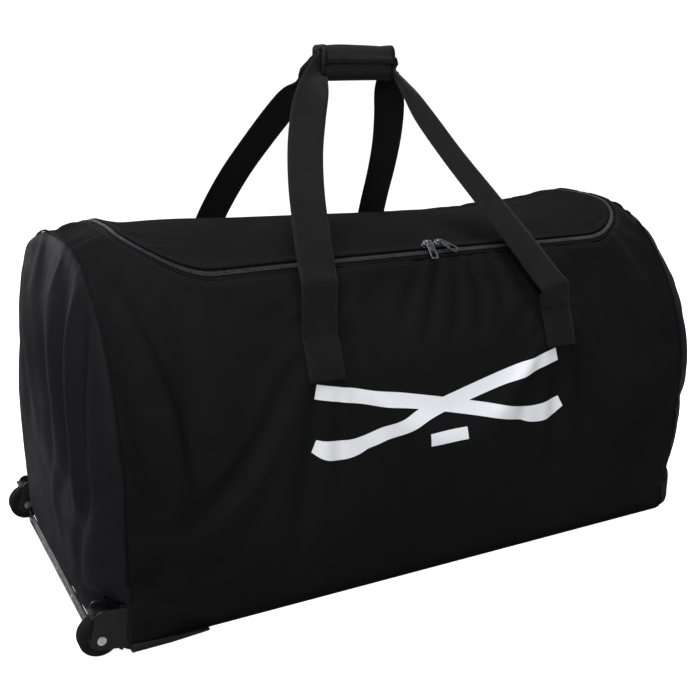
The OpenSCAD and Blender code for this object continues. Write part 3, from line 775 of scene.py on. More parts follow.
def ribbon(name, stations, thickness, mat):
    """A band of webbing. stations are rows of place (3), across (3), half width, curl in radians."""
    s = np.asarray(stations, float)
    place, across, half, curl = s[:, :3], s[:, 3:6], s[:, 6], s[:, 7]
    along = unit(np.gradient(place, axis=0))
    across = unit(across - (across * along).sum(1, keepdims=True) * along)
    up = unit(np.cross(across, along))
    run = run_along(place)
    r = thickness / 2
    flat = np.linspace(-1, 1, 10)
    turn = np.linspace(-math.pi / 2, math.pi / 2, 5)[1:-1]
    profile = ([(a, -1, 0.0) for a in flat] + [(1, math.sin(t), math.cos(t)) for t in turn]
               + [(a, 1, 0.0) for a in flat[::-1]] + [(-1, -math.sin(t), -math.cos(t)) for t in turn])
    rings, uv = [], []
    for i in range(len(s)):
        ring = []
        for a, b, out in profile:
            flat_a = a * (half[i] - r)
            bend = max(abs(curl[i]), 1e-4) * np.sign(curl[i] or 1)
            radius = 2 * half[i] / bend
            angle = flat_a / radius
            centre = np.array([radius * math.sin(angle), radius * (1 - math.cos(angle))])
            normal = np.array([-math.sin(angle), math.cos(angle)])
            tangent = np.array([math.cos(angle), math.sin(angle)])
            q = centre + normal * b * r + tangent * out * r
            ring.append(place[i] + across[i] * q[0] + up[i] * q[1])
        rings.append(ring)
        row = [(a * half[i], run[i]) for a, _, _ in profile]
        uv.append(row + [row[0]])
    obj = rings_object(name, rings, np.array(uv))
    obj.data.materials.append(mat)
    return obj


def tube(name, path, radius, mat, sides=8):
    """A round cord along a path."""
    path = np.asarray(path, float)
    along = unit(np.gradient(path, axis=0))
    side = np.zeros_like(path)
    side[0] = unit(np.cross(along[0], (0.3, 0.2, 0.93)))
    for i in range(1, len(path)):
        side[i] = unit(side[i - 1] - along[i] * (side[i - 1] @ along[i]))
    up = np.cross(along, side)
    angles = np.arange(sides) * 2 * math.pi / sides
    rings = [[path[i] + radius * (math.cos(a) * side[i] + math.sin(a) * up[i]) for a in angles]
             for i in range(len(path))]
    run = np.append(run_along(path), 0)
    uv = np.array([[(radius * t * 2 * math.pi / sides, run[i]) for t in range(sides + 1)]
                   for i in range(len(path) + 1)])
    obj = rings_object(name, rings, uv)
    obj.data.materials.append(mat)
    return obj


def outline_plate(name, outlines, thickness, bevel, place, mat):
    """A flat moulded or stamped plate: closed outlines (holes too) in a plane, rounded along its edges.
    place is a 4x4 matrix taking the plane to the bag."""
    curve = bpy.data.curves.new(name, "CURVE")
    curve.dimensions = "2D"
    curve.fill_mode = "BOTH"
    curve.extrude = thickness / 2 - bevel
    curve.bevel_depth = bevel
    curve.bevel_resolution = 2
    curve.offset = -bevel
    for points in outlines:
        spline = curve.splines.new("POLY")
        spline.points.add(len(points) - 1)
        for q, p in zip(spline.points, points):
            q.co = (p[0], p[1], 0, 1)
        spline.use_cyclic_u = True
    source = linked(name + "_curve", curve)
    graph = bpy.context.evaluated_depsgraph_get()
    mesh = bpy.data.meshes.new_from_object(source.evaluated_get(graph))
    bpy.data.objects.remove(source)
    bpy.data.curves.remove(curve)
    mesh.transform(place)
    mesh.name = name
    obj = linked(name, mesh)
    weld(obj)
    mesh.materials.clear()
    mesh.materials.append(mat)
    shade_by_angle(obj)
    return obj


def weld(obj):
    """Merges points that lie in one place."""
    bm = bmesh.new()
    bm.from_mesh(obj.data)
    bmesh.ops.remove_doubles(bm, verts=bm.verts, dist=1e-5)
    bmesh.ops.recalc_face_normals(bm, faces=bm.faces)
    bm.to_mesh(obj.data)
    bm.free()


def shade_by_angle(obj):
    """Smooth shading with the edges sharper than CRISP kept crisp."""
    mesh = obj.data
    shade_smooth(mesh)
    bm = bmesh.new()
    bm.from_mesh(mesh)
    for e in bm.edges:
        e.smooth = not (len(e.link_faces) == 2 and e.calc_face_angle(0) > CRISP)
    bm.to_mesh(mesh)
    bm.free()


def lathe(name, profile, centre, mat, segments=64):
    """Turns a closed profile of (radius, y) about the axle line through centre."""
    c = np.array(centre)
    rings = []
    for i in range(segments):
        a = 2 * math.pi * i / segments
        rings.append([c + (r * math.cos(a), y, r * math.sin(a)) for r, y in profile])
    obj = rings_object(name, rings, closed=True)
    obj.data.materials.append(mat)
    shade_by_angle(obj)
    return obj


def join(name, objects):
    """Makes one piece of several."""
    bm = bmesh.new()
    slots = []
    for o in objects:
        for m in o.data.materials:
            if m not in slots:
                slots.append(m)
    for o in objects:
        start = len(bm.faces)
        bm.from_mesh(o.data)
        bm.faces.ensure_lookup_table()
        for f in bm.faces[start:]:
            f.material_index = slots.index(o.data.materials[f.material_index]) if o.data.materials else 0
    mesh = bpy.data.meshes.new(name)
    bm.to_mesh(mesh)
    bm.free()
    for m in slots:
        mesh.materials.append(m)
    for o in objects:
        bpy.data.objects.remove(o)
    return linked(name, mesh)


def stitches(name, lines, mat, length=0.0030, gap=0.0013, radius=0.00042):
    """Rows of stitches: lines of (place, normal) pairs of arrays; each stitch dips at both ends."""
    points, faces = [], []
    for place, normal in lines:
        run = run_along(place)
        count = int(run[-1] / (length + gap))
        for i in range(count):
            at = (i + 0.5) * run[-1] / count
            ends = [np.array([np.interp(at + d, run, place[:, k]) for k in range(3)])
                    for d in (-length / 2, -length / 4, length / 4, length / 2)]
            up = unit(np.array([np.interp(at, run, normal[:, k]) for k in range(3)]))
            along = unit(ends[3] - ends[0])
            side = unit(np.cross(along, up))
            base = len(points)
            points.append(ends[0] - up * radius)
            for e in ends[1:3]:
                for a in range(6):
                    t = a * math.pi / 3
                    points.append(e + radius * (side * math.cos(t) + up * (math.sin(t) + 0.35)))
            points.append(ends[3] - up * radius)
            for a in range(6):
                b = (a + 1) % 6
                faces.append((base, base + 1 + b, base + 1 + a))
                faces.append((base + 1 + a, base + 1 + b, base + 7 + b, base + 7 + a))
                faces.append((base + 13, base + 7 + a, base + 7 + b))
    obj = new_object(name, points, faces)
    obj.data.materials.append(mat)
    return obj


def local_frame(origin, x_axis, z_axis):
    """4x4 matrix with its local z along z_axis and x as near x_axis as it goes."""
    z = Vector(z_axis).normalized()
    x = (Vector(x_axis) - z * Vector(x_axis).dot(z)).normalized()
    y = z.cross(x)
    m = Matrix.Identity(4)
    for i, col in enumerate((x, y, z, Vector(origin))):
        for r in range(3):
            m[r][i] = col[r]
    return m


def circle_points(cx, cy, r, n, start=0.0, stop=2 * math.pi):
    """n points round a circle, or round the part of it from start to stop."""
    turns = [start + (stop - start) * i / n for i in range(n)]
    return [(cx + r * math.cos(t), cy + r * math.sin(t)) for t in turns]


def hull_outline(points):
    """Convex outline round points, counterclockwise."""
    pts = sorted(set((round(x, 7), round(y, 7)) for x, y in points))

    def half(seq):
        out = []
        for p in seq:
            while len(out) > 1 and ((out[-1][0] - out[-2][0]) * (p[1] - out[-2][1])
                                    - (out[-1][1] - out[-2][1]) * (p[0] - out[-2][0])) <= 0:
                out.pop()
            out.append(p)
        return out[:-1]
    return half(pts) + half(pts[::-1])


# ---- Bag body and lid ----------------------------------------------------------------------------

skin, skin_rest = make_skin()
seam_paths = {side: coordinates(skin)[seam_ids(side)] for side in (-1, 1)}
subdivided(skin, skin_rest)
lid, body = split_skin(skin)

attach(body, "bag")


def bend_with_lid(obj):
    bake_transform(obj)


bend_with_lid(lid)
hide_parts("front_panel", "back_panel", "wheel_end_panel", "pull_end_panel", "top_yoke_left",
            "top_yoke_right")
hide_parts("lid_panel")


def ride(obj, bodies, slot, *nodes):
    """Puts a finished piece on its body and hides the parts it stands for."""
    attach(obj, bodies)
    if nodes:
        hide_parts(*nodes)
    return obj


skin_tree = {name: BVHTree.FromObject(o, bpy.context.evaluated_depsgraph_get())
             for name, o in (("body", body), ("lid", lid))}


def dropped(tree, x, y):
    """Place and normal of the skin straight below (x, y), or of the plain surface where there is none."""
    hit, normal, _, _ = skin_tree[tree].ray_cast(Vector((x, y, 0.6)), Vector((0, 0, -1)))
    plain = float(height_at(x, y))
    if hit is None or abs(hit.z - plain) > 0.02:
        return np.array((x, y, plain)), top_normal(x, y)
    return np.array(hit), np.array(normal if normal.z > 0 else -normal)


def pressed(x, z, side):
    """Place and normal of the skin's front (side -1) or back (side 1) wall at (x, z)."""
    start = Vector((x, side * 0.5, z))
    hit, normal, _, _ = skin_tree["body"].ray_cast(start, Vector((0, -side, 0)))
    if hit is None:
        return np.array((x, side * float(half_at(z, crown(x))), z)), np.array((0.0, side, 0.0))
    return np.array(hit), np.array(normal if normal.y * side > 0 else -normal)


def top_normal(x, y):
    d = 0.002
    return unit((-(height_at(x + d, y) - height_at(x - d, y)) / (2 * d),
                 -(height_at(x, y + d) - height_at(x, y - d)) / (2 * d), 1.0))


# ---- Piping along the end seams ------------------------------------------------------------------

for side, name in ((-1, "seam_binding_left"), (1, "seam_binding_right")):
    path = seam_paths[side]
    if side < 0:
        path = path[path[:, 2] > NOTCH_Z]
    out = unit(np.stack([np.full(len(path), side * 0.6), path[:, 1] / HALF_W,
                         np.clip((path[:, 2] - 0.3) / 0.17, 0, 1)], 1))
    cord = tube("piping_" + name[13:], smooth_path(path + out * 0.0002, 0.006), 0.0014, mats["panel"])
    ride(cord, "bag", "binding", name)


# ---- Zip -----------------------------------------------------------------------------------------

def zip_plan(d, step=0.004):
    """Points on the zip's D-shaped line moved out by d, from its left end round the front to its right."""
    r = ZIP_CORNER + d
    cy = -(ZIP_Y - ZIP_CORNER)
    pts = [(ZIP_L - d, y) for y in np.arange(LID_BACK - 0.003, cy, -step)]
    turn = np.arange(0, math.pi / 2, step / r)
    pts += [(ZIP_L + ZIP_CORNER - r * math.cos(t), cy - r * math.sin(t)) for t in turn]
    pts += [(x, -ZIP_Y - d) for x in np.arange(ZIP_L + ZIP_CORNER, ZIP_R - ZIP_CORNER, step)]
    pts += [(ZIP_R - ZIP_CORNER + r * math.sin(t), cy - r * math.cos(t)) for t in turn]
    pts += [(ZIP_R + d, y) for y in np.arange(cy, LID_BACK - 0.003, step)]
    return np.array(pts)


def zip_rail(d, up, step=0.004):
    """The same line lifted onto the bag, up above its surface."""
    plan = zip_plan(d, step)
    z = height_at(plan[:, 0], plan[:, 1])
    n = np.array([top_normal(x, y) for x, y in plan])
    return np.column_stack([plan, z]) + n * up, n


def zip_coil(name, side):
    """Half of a nylon coil: a flattened helix whose loops reach across the middle."""
    rail, n = zip_rail(side * 0.0011, -0.0006, 0.002)
    along = unit(np.gradient(rail, axis=0))
    across = unit(np.cross(n, along))
    run = run_along(rail)
    pitch, turns = 0.0017, 7
    count = int(run[-1] / pitch) * turns
    at = np.linspace(0, run[-1], count)
    pick = lambda a: np.stack([np.interp(at, run, a[:, k]) for k in range(3)], 1)
    angle = np.arange(count) * 2 * math.pi / turns + (0 if side > 0 else math.pi)
    path = (pick(rail) + pick(across) * (0.00155 * np.cos(angle))[:, None]
            + pick(n) * (0.0011 * np.sin(angle))[:, None])
    return tube(name, path, 0.00042, mats["coil"], sides=5)


def zip_tape(name, side):
    """Woven tape under the fabric's edge, from the coil out to the seam."""
    inner, n = zip_rail(side * 0.0004, -0.0011)
    outer, _ = zip_rail(side * 0.0075, -0.0018)
    rings = []
    for a, b, up in zip(inner, outer, n):
        rings.append([a + up * 0.0004, b + up * 0.0004, b - up * 0.0003, a - up * 0.0003])
    run = run_along(inner)
    uv = np.array([[(w, r) for w in (0, 0.007, 0.0073, 0.0143, 0.0146)] for r in run])
    obj = rings_object(name, rings, uv)
    obj.data.materials.append(mats["tape"])
    return obj


def folded_edge(name, side):
    """The fabric's turned edge beside the coil."""
    rail, _ = zip_rail(side * (ZIP_GAP + 0.0009), -0.0003)
    return tube(name, rail, 0.0016, mats["panel"], sides=8)


zip_body = join("zip_body", [zip_tape("a", 1), zip_coil("b", 1)])
ride(zip_body, "bag", "zip_coil", "zip_track_body", "zip_end_stops")
zip_lid = join("zip_lid", [zip_tape("a", -1), zip_coil("b", -1)])
bend_with_lid(zip_lid)
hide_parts("zip_track_lid")
ride(folded_edge("edge_body", 1), "bag", "binding")
edge_lid = folded_edge("edge_lid", -1)
bend_with_lid(edge_lid)

STITCH_ROWS = (0.0085, 0.0115)     # distances of the two rows of stitches from the zip's middle
for tree, side in (("body", 1), ("lid", -1)):
    rows = []
    for d in STITCH_ROWS:
        spots = [dropped(tree, x, y) for x, y in zip_plan(side * d, 0.003)]
        rows.append(rows_of(spots))
    seams = stitches("stitching_" + tree, rows, mats["thread"])
    if tree == "body":
        ride(seams, "bag", "binding")
    else:
        bend_with_lid(seams)

hinge_spots = [dropped("body", x, LID_BACK + 0.004) for x in np.arange(ZIP_L, ZIP_R, 0.004)]
ride(stitches("stitching_hinge", [rows_of(hinge_spots)], mats["thread"]), "bag", "binding")


# ---- Sliders and pull tabs -----------------------------------------------------------------------

def slider(side, joint, slider_body, tab_body):
    """One zip slider with its lug, and the pull tab that hangs in it. side is -1 left, 1 right."""
    j = next(j for j in frame["joints"] if j["name"] == joint)
    pivot, axis = Vector(j["pos_m"]), Vector(j["axis"])
    normal = Vector(top_normal(pivot.x, -ZIP_Y))
    sunk = 0.0051     # from the tab's pivot down to the middle of the slider
    m = local_frame(pivot - normal * sunk, (1, 0, 0), normal)
    nose, tail, w = side * 0.0075, side * -0.0072, 0.0050
    shield = [(tail, -w * 0.72), (tail * 0.2, -w * 1.02), (nose * 0.55, -w), (nose, -w * 0.42),
              (nose, w * 0.42), (nose * 0.55, w), (tail * 0.2, w * 1.02), (tail, w * 0.72)]
    parts = []
    for z in (-0.0024, 0.0023):     # the plates under and over the coil
        parts.append(outline_plate("p", [shield], 0.0013, 0.00035,
                                   m @ Matrix.Translation((0, 0, z)), mats["slider"]))
    for y in (-w * 0.9, w * 0.9):
        rim = [(tail * 0.85, y - 0.0004), (nose * 0.5, y - 0.0004), (nose * 0.5, y + 0.0004),
               (tail * 0.85, y + 0.0004)]
        parts.append(outline_plate("r", [rim], 0.0016, 0.0002,
                                   m @ Matrix.Translation((0, 0, 0.0013)), mats["slider"]))
    arch = [m @ Vector((side * 0.0048 * math.cos(t), 0, 0.0029 + 0.0034 * math.sin(t)))
            for t in np.linspace(0, math.pi, 14)]
    parts.append(tube("a", [tuple(p) for p in arch], 0.0009, mats["slider"]))
    ride(join(slider_body, parts), slider_body, "slider_metal", "zip_" + slider_body)

    down = axis.cross(normal)
    if down.y > 0:
        down = -down
    down = (down - normal * 0.12).normalized()
    tab_up = axis.cross(down)
    if tab_up.z < 0:
        tab_up = -tab_up
    t = local_frame(pivot, down, tab_up)
    lug = circle_points(0.0005, 0, 0.0028, 20, math.pi / 2, math.pi * 3 / 2)
    length, half = 0.0285, 0.0057
    blade = lug + [(0.0045, -0.0030)]
    blade += circle_points(0.0085, -half + 0.0015, 0.0015, 6, math.pi * 1.35, math.pi * 1.5)
    blade += circle_points(length - 0.002, -half + 0.002, 0.002, 8, -math.pi / 2, 0)
    blade += circle_points(length - 0.002, half - 0.002, 0.002, 8, 0, math.pi / 2)
    blade += circle_points(0.0085, half - 0.0015, 0.0015, 6, math.pi / 2, math.pi * 0.65)
    blade += [(0.0045, 0.0030)]
    eye = circle_points(0.0006, 0, 0.0016, 16)[::-1]
    window = [(length - 0.0125, -0.0032), (length - 0.0125, 0.0032),
              (length - 0.0030, 0.0036), (length - 0.0030, -0.0036)]
    plate = outline_plate("plate", [blade, eye, window], 0.0018, 0.0004, t, mats["tab"])
    ridge = [(0.0095, -0.0022), (0.0140, -0.0026), (0.0140, 0.0026), (0.0095, 0.0022)]
    raised = outline_plate("ridge", [ridge], 0.0024, 0.0005, t, mats["tab"])
    ride(join(tab_body, [plate, raised]), tab_body, "tab_metal", "pull_" + tab_body)


slider(-1, "tab_left_lift", "slider_left", "tab_left")
slider(1, "tab_right_lift", "slider_right", "tab_right")


# ---- Carry handles -------------------------------------------------------------------------------

WEB = 0.025               # half the webbing's width
WEB_THICK = 0.0026
WEB_OFF = 0.0026          # from the wall to the middle of the webbing sewn on it
PATCH = (0.301, 0.354)    # foot and top of the sewn end
GRIP_X, GRIP_Z = 0.060, 0.684     # half length and middle height of the grip


def wall_spot(x, z, side, off):
    """A place off the front or back wall, measured on the plain surface."""
    top = crown(x)
    a, b = float(half_at(z - 0.001, top)), float(half_at(z + 0.001, top))
    n = unit((0.0, side, side * -(b - a) / 0.002 * side))
    return np.array((x, side * float(half_at(z, top)), z)) + n * off


def leg(x, side, s, bow, fold_z, standoff, gather):
    """Stations of one leg: sewn patch, hanging part, crease, straight run, fold into the grip."""
    end = np.array((s * (GRIP_X + 0.003), side * 0.008, GRIP_Z - 0.010))
    fold = np.array((x + (end[0] - x) * 0.06, side * (float(half_at(fold_z, crown(x))) + standoff), fold_z))
    keys = []

    def key(p, across, half, curl=0.0):
        keys.append((*p, *across, half, curl))
    for z in (PATCH[0], 0.318, 0.336, PATCH[1]):
        key(wall_spot(x, z, side, WEB_OFF), (1, 0, 0), WEB)
    foot = wall_spot(x, PATCH[1], side, WEB_OFF)
    for t in (0.12, 0.35, 0.65, 0.90, 0.97):
        key(foot + (fold - foot) * t, (1, 0, 0), WEB)
    run = end - fold
    d = unit(run)
    across = unit(np.array((1, 0, 0)) - d * d[0])
    out = unit(np.cross(across, d)) * (1 if np.cross(across, d)[1] * side > 0 else -1)
    key(fold + run * 0.008, across, WEB)
    for t in (0.03, 0.06, 0.2, 0.4, 0.6, 0.78):
        sway = np.array(bow) * math.sin(math.pi * t)
        wave = 0.003 * math.sin(2 * math.pi * t) if t > 0.1 else 0.0
        key(fold + run * t + sway + out * wave, across, WEB * (1 - gather * t), 0.10 if t > 0.1 else 0.0)
    down = -s * np.array((0, 0, 1))
    width = WEB * (1 - gather)
    key(fold + run * 0.88 + np.array(bow) * 0.35, across + 0.15 * down, width * 0.90, 0.5)
    key(fold + run * 0.95 + np.array(bow) * 0.12, across + 0.40 * down, width * 0.72, 1.0)
    key(end, (s * 0.62, 0, -s * 0.8), 0.0125, 0.9)
    key((s * (GRIP_X - 0.008), side * 0.006, GRIP_Z - 0.001), (s * 0.2, 0, -s), 0.0143, 0.4)
    key((s * (GRIP_X - 0.022), side * 0.005, GRIP_Z + 0.0015), (0, 0, -s), 0.0150, 0.1)
    return np.array(keys)


def handle(side, xs, hang):
    """One continuous strap: up the left leg, through the grip and down the right leg."""
    left = leg(xs[0], side, -1, *hang[0])
    right = leg(xs[1], side, 1, *hang[1])[::-1]
    mid = np.array([(0, side * 0.005, GRIP_Z + 0.0015, 0, 0, 1, 0.0150, 0)])
    stations = np.concatenate([left, mid, right])
    for i in range(1, len(stations)):
        if stations[i, 3:6] @ stations[i - 1, 3:6] < 0:
            stations[i, 3:6] *= -1
            stations[i, 7] *= -1
    return smooth_path(stations, 0.005)


def boxed_cross(w, foot, top, count, spot, normal):
    """Lines of a sewn box with a cross in it, w to either side; spot(u, z) is a place on the webbing."""
    corners = ((-w, foot), (w, foot), (w, top), (-w, top))
    lines = []
    for i, j in ((0, 1), (1, 2), (2, 3), (3, 0), (0, 2), (1, 3)):
        (u0, z0), (u1, z1) = corners[i], corners[j]
        place = np.array([spot(u0 + (u1 - u0) * t, z0 + (z1 - z0) * t) for t in np.linspace(0, 1, count)])
        lines.append((place, np.tile(normal, (count, 1))))
    return lines


def sewing(name, lines):
    """The heavy stitches of a webbing's sewn ends."""
    return stitches(name, lines, mats["thread"], length=0.0026, gap=0.0011, radius=0.00045)


def patch_sewing(name, xs, side):
    """A box with a cross in it at each sewn end, on the face of the webbing."""
    lines = []
    for x in xs:
        lines += boxed_cross(WEB - 0.004, PATCH[0] + 0.004, PATCH[1] - 0.006, 20,
                             lambda u, z: wall_spot(x + u, z, side, 0.0042), (0, side, 0.0))
    return sewing(name, lines)


anchor_x = {name: (anchor_boxes["anchor_" + name][0].x + anchor_boxes["anchor_" + name][1].x) / 2
            for name in ("front_left", "front_right", "back_left", "back_right")}
HANG = {   # for each leg: how it bows, the crease's height and standoff, how far it gathers on the way up
    "front": (((-0.018, 0, 0), 0.420, 0.036, 0.0), ((-0.007, 0, 0), 0.385, 0.028, 0.32)),
    "back": (((-0.012, 0, 0.003), 0.420, 0.026, 0.0), ((0.013, 0, 0), 0.420, 0.026, 0.0)),
}
for side, name in ((-1, "front"), (1, "back")):
    xs = (anchor_x[name + "_left"], anchor_x[name + "_right"])
    strap = ribbon(name + "_handle_webbing", handle(side, xs, HANG[name]), WEB_THICK, mats["webbing"])
    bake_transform(strap)
    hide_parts(name + "_handle_strap", "anchor_%s_left" % name, "anchor_%s_right" % name)
    ride(patch_sewing(name + "_handle_sewing", xs, side), "bag", "webbing")


# ---- Grip ----------------------------------------------------------------------------------------

def rounded_path(corners, radii):
    """A polyline with its inner corners rounded."""
    out = [np.array(corners[0], float)]
    for a, b, c, r in zip(corners[:-2], corners[1:-1], corners[2:], radii):
        a, b, c = (np.array(v, float) for v in (a, b, c))
        u, v = unit(a - b), unit(c - b)
        for t in np.linspace(0, 1, 7):
            out.append((1 - t) ** 2 * (b + u * r) + 2 * t * (1 - t) * b + t ** 2 * (b + v * r))
    out.append(np.array(corners[-1], float))
    return out


def padded_strip(name, path, thick, half_length, mat):
    """A strip of padding bent along a path in (y, z) and running along x, with soft ends."""
    rounds, rows, cols = 0.009, 30, 34
    path = np.array(path)
    run = run_along(path)
    at = np.linspace(0, run[-1], rows)
    line = np.stack([np.interp(at, run, path[:, k]) for k in range(2)], 1)
    along = unit(np.gradient(line, axis=0))
    side = np.stack([-along[:, 1], along[:, 0]], 1)
    taper = np.sqrt(np.clip(1 - np.abs(np.linspace(-1, 1, rows)) ** 14, 0.05, 1))[:, None]
    rings = []
    for k in range(cols + 1):
        x = -half_length + 2 * half_length * k / cols
        near_end = max(0.0, abs(x) - (half_length - rounds)) / rounds
        t = thick / 2 * math.sqrt(max(0.04, 1 - near_end ** 2)) * taper
        ring = np.concatenate([line + side * t, (line - side * t)[::-1]])
        rings.append([(x, y, z) for y, z in ring])
    obj = rings_object(name, rings)
    obj.data.materials.append(mat)
    return obj


def plump(obj, pressure, most, hold=None):
    """Inflates a padded piece a little with cloth, then smooths it; hold(place) is how firmly it's held."""
    weights = np.array([hold(p) if hold else 0.0 for p in coordinates(obj)])
    run_cloth(obj, weights, most, mass=0.1, stretch=25, shear=12, bending=0.6,
              pressure=pressure, gravity=0)
    sub = obj.modifiers.new("smooth", "SUBSURF")
    sub.levels = sub.render_levels = 1
    apply_modifiers(obj)
    shade_smooth(obj.data)


g_half = (grip_hi.x - grip_lo.x) / 2 - 0.0045
trough = rounded_path([(0.0155, 0.7005), (0.0165, 0.6615), (-0.0165, 0.6615), (-0.0160, 0.6995)],
                      [0.014, 0.014])
pad = padded_strip("grip_wrap", trough, 0.0055, g_half - 0.0005, mats["grip"])
plump(pad, 3.0, 0.0025)
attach(pad, "front_handle")
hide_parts("grip_pad", "loop_tape")

cover = rounded_path([(0.0185, 0.6990), (0.0170, 0.7050), (-0.0195, 0.7055), (-0.0212, 0.6840)],
                     [0.004, 0.009])
flap = padded_strip("grip_cover", cover, 0.0042, g_half + 0.0005, mats["grip"])
plump(flap, 2.0, 0.0020, hold=lambda p: 1.0 if p[1] > 0.015 else 0.0)
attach(flap, "flap")
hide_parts("grip_flap", "hook_tape")

rim = [(x, -0.0212, 0.6838) for x in np.linspace(-g_half, g_half, 40)]
ends = [[(s * (g_half - 0.0022), y, z) for y, z in cover] for s in (-1, 1)]
binding = join("grip_binding", [tube("t", rim, 0.0021, mats["binding"])]
               + [tube("t", e, 0.0025, mats["binding"]) for e in ends])
ride(binding, "flap", "binding")
lower = [[(s * (g_half - 0.0006), y, z) for y, z in trough] for s in (-1, 1)]
ride(join("grip_end_binding", [tube("t", e, 0.0024, mats["binding"]) for e in lower]),
     "front_handle", "binding")


# ---- Wheels and their housings -------------------------------------------------------------------

def wheel(name):
    """The tyre and its hub with six ribs on each face."""
    lo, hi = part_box("tyre_" + name)
    c = ((lo.x + hi.x) / 2, (lo.y + hi.y) / 2, (lo.z + hi.z) / 2)
    r, w = (hi.x - lo.x) / 2, (hi.y - lo.y) / 2
    tyre = [(0.0150, -w + 0.0006), (0.0180, -w), (r - 0.0045, -w), (r - 0.0016, -w + 0.0012),
            (r, -w + 0.0042), (r, -0.0040), (r - 0.0012, -0.0036), (r - 0.0012, -0.0028), (r, -0.0024),
            (r, 0.0024), (r - 0.0012, 0.0028), (r - 0.0012, 0.0036), (r, 0.0040), (r, w - 0.0042),
            (r - 0.0016, w - 0.0012), (r - 0.0045, w), (0.0180, w), (0.0150, w - 0.0006)]
    ride(lathe("tyre_" + name + "_rubber", tyre, c, mats["tyre"]), "wheel_" + name, "tyre", "tyre_" + name)
    hub = [(0.0052, -w + 0.0012), (0.0072, -w + 0.0008), (0.0078, -w + 0.0032), (0.0124, -w + 0.0034),
           (0.0132, -w + 0.0010), (0.0149, -w + 0.0012), (0.0149, w - 0.0012), (0.0132, w - 0.0010),
           (0.0124, w - 0.0034), (0.0078, w - 0.0032), (0.0072, w - 0.0008), (0.0052, w - 0.0012)]
    parts = [lathe("h", hub, c, mats["hub"], 60)]
    for k in range(6):
        a = k * math.pi / 3
        for s in (-1, 1):
            y = c[1] + s * (w - 0.0023)
            m = local_frame((c[0], y, c[2]), (math.cos(a), 0, math.sin(a)), (0, s, 0))
            rib = [(0.0068, -0.0009), (0.0136, -0.0007), (0.0136, 0.0007), (0.0068, 0.0009)]
            parts.append(outline_plate("rib", [rib], 0.0024, 0.0004, m, mats["hub"]))
    ride(join("hub_" + name + "_moulding", parts), "wheel_" + name, "hub_plastic", "hub_" + name)


def housing(side, name):
    """Cheeks, arch and the shoe that runs on along the bag's lower edge."""
    lo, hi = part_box("wheel_housing_" + name)
    t_lo, t_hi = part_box("tyre_" + name)
    ax, az = (t_lo.x + t_hi.x) / 2, (t_lo.z + t_hi.z) / 2
    mid = (lo.y + hi.y) / 2
    half = (hi.y - lo.y) / 2
    outline = hull_outline(circle_points(0, 0, 0.0130, 40)
                           + circle_points(0.004, hi.z - az - 0.010, 0.0098, 40)
                           + circle_points(hi.x - ax - 0.016, hi.z - az - 0.014, 0.0100, 24)
                           + circle_points(hi.x - ax - 0.004, lo.z - az + 0.0045, 0.0040, 24))
    parts = []
    for s in (-1, 1):
        m = local_frame((ax, mid + s * (half - 0.0015), az), (1, 0, 0), (0, -1, 0))
        parts.append(outline_plate("cheek", [outline], 0.0030, 0.0009, m, mats["housing"]))
    a_in, a_out = (t_hi.x - t_lo.x) / 2 + 0.003, (t_hi.x - t_lo.x) / 2 + 0.0062
    turn = np.linspace(math.radians(-42), math.radians(108), 40)     # the part of the wheel it goes over
    arch = [(a_in * math.cos(t), a_in * math.sin(t)) for t in turn]
    arch += [(min(a_out * 1.04 * math.cos(t), hi.x - ax - 0.001), a_out * math.sin(t)) for t in turn[::-1]]
    m = local_frame((ax, mid, az), (1, 0, 0), (0, -1, 0))
    parts.append(outline_plate("arch", [arch], 2 * half - 0.004, 0.0006, m, mats["housing"]))
    inner = hi.x - ax - 0.030
    shoe = [(inner, 0.0012 - az), (inner + 0.050, 0.0014 - az), (inner + 0.098, 0.0042 - az)]
    shoe += [(inner + 0.098, 0.0062 - az), (inner + 0.050, 0.0092 - az), (inner, 0.0120 - az)]
    m = local_frame((ax, side * 0.2350, az), (1, 0, 0), (0, -1, 0))
    parts.append(outline_plate("shoe", [shoe], 0.0110, 0.0012, m, mats["housing"]))
    ride(join("housing_" + name, parts), "bag", "housing_plastic", "wheel_housing_" + name)


for side, name in ((-1, "front"), (1, "rear")):
    wheel(name)
    housing(side, name)


def skid():
    """The moulded strip along the foot of the wheel end, with two ridges and five rivets."""
    lo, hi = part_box("end_skid")
    m = local_frame(((lo.x + hi.x) / 2, 0, (lo.z + hi.z) / 2), (0, 1, 0), (-1, 0, 0))
    h, w = (hi.z - lo.z) / 2, hi.y
    r = 0.006
    outline = []
    for a, (sx, sy) in enumerate(((1, 1), (-1, 1), (-1, -1), (1, -1))):
        outline += circle_points(sx * (w - r), sy * (h - r), r, 8, a * math.pi / 2, (a + 1) * math.pi / 2)
    plate = outline_plate("skid", [outline], hi.x - lo.x, 0.001, m, mats["skid"])
    ridge = []
    for z in (-0.005, 0.005):
        path = [(lo.x - 0.0001, y, (lo.z + hi.z) / 2 + z) for y in np.linspace(-w + 0.012, w - 0.012, 30)]
        ridge.append(tube("ridge", path, 0.0011, mats["skid"]))
    ride(join("skid_strip", [plate] + ridge), "bag", "housing_plastic", "end_skid")
    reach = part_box("skid_rivets")[1].y - 0.004
    heads = []
    for i in range(-2, 3):
        y = reach / 2 * i
        dome = [(1e-5, 0.0014), (0.0016, 0.0012), (0.0031, 0.0006), (0.0040, -0.0002), (1e-5, -0.0004)]
        rings = [[(lo.x - h, y + r * math.cos(a), 0.012 + r * math.sin(a)) for r, h in dome]
                 for a in np.arange(24) * 2 * math.pi / 24]
        head = rings_object("head", rings, closed=True)
        head.data.materials.append(mats["rivet"])
        heads.append(head)
    ride(join("skid_rivet_heads", heads), "bag", "rivet_metal", "skid_rivets")


skid()


# ---- Base and the CAD parts that stay ------------------------------------------------------------

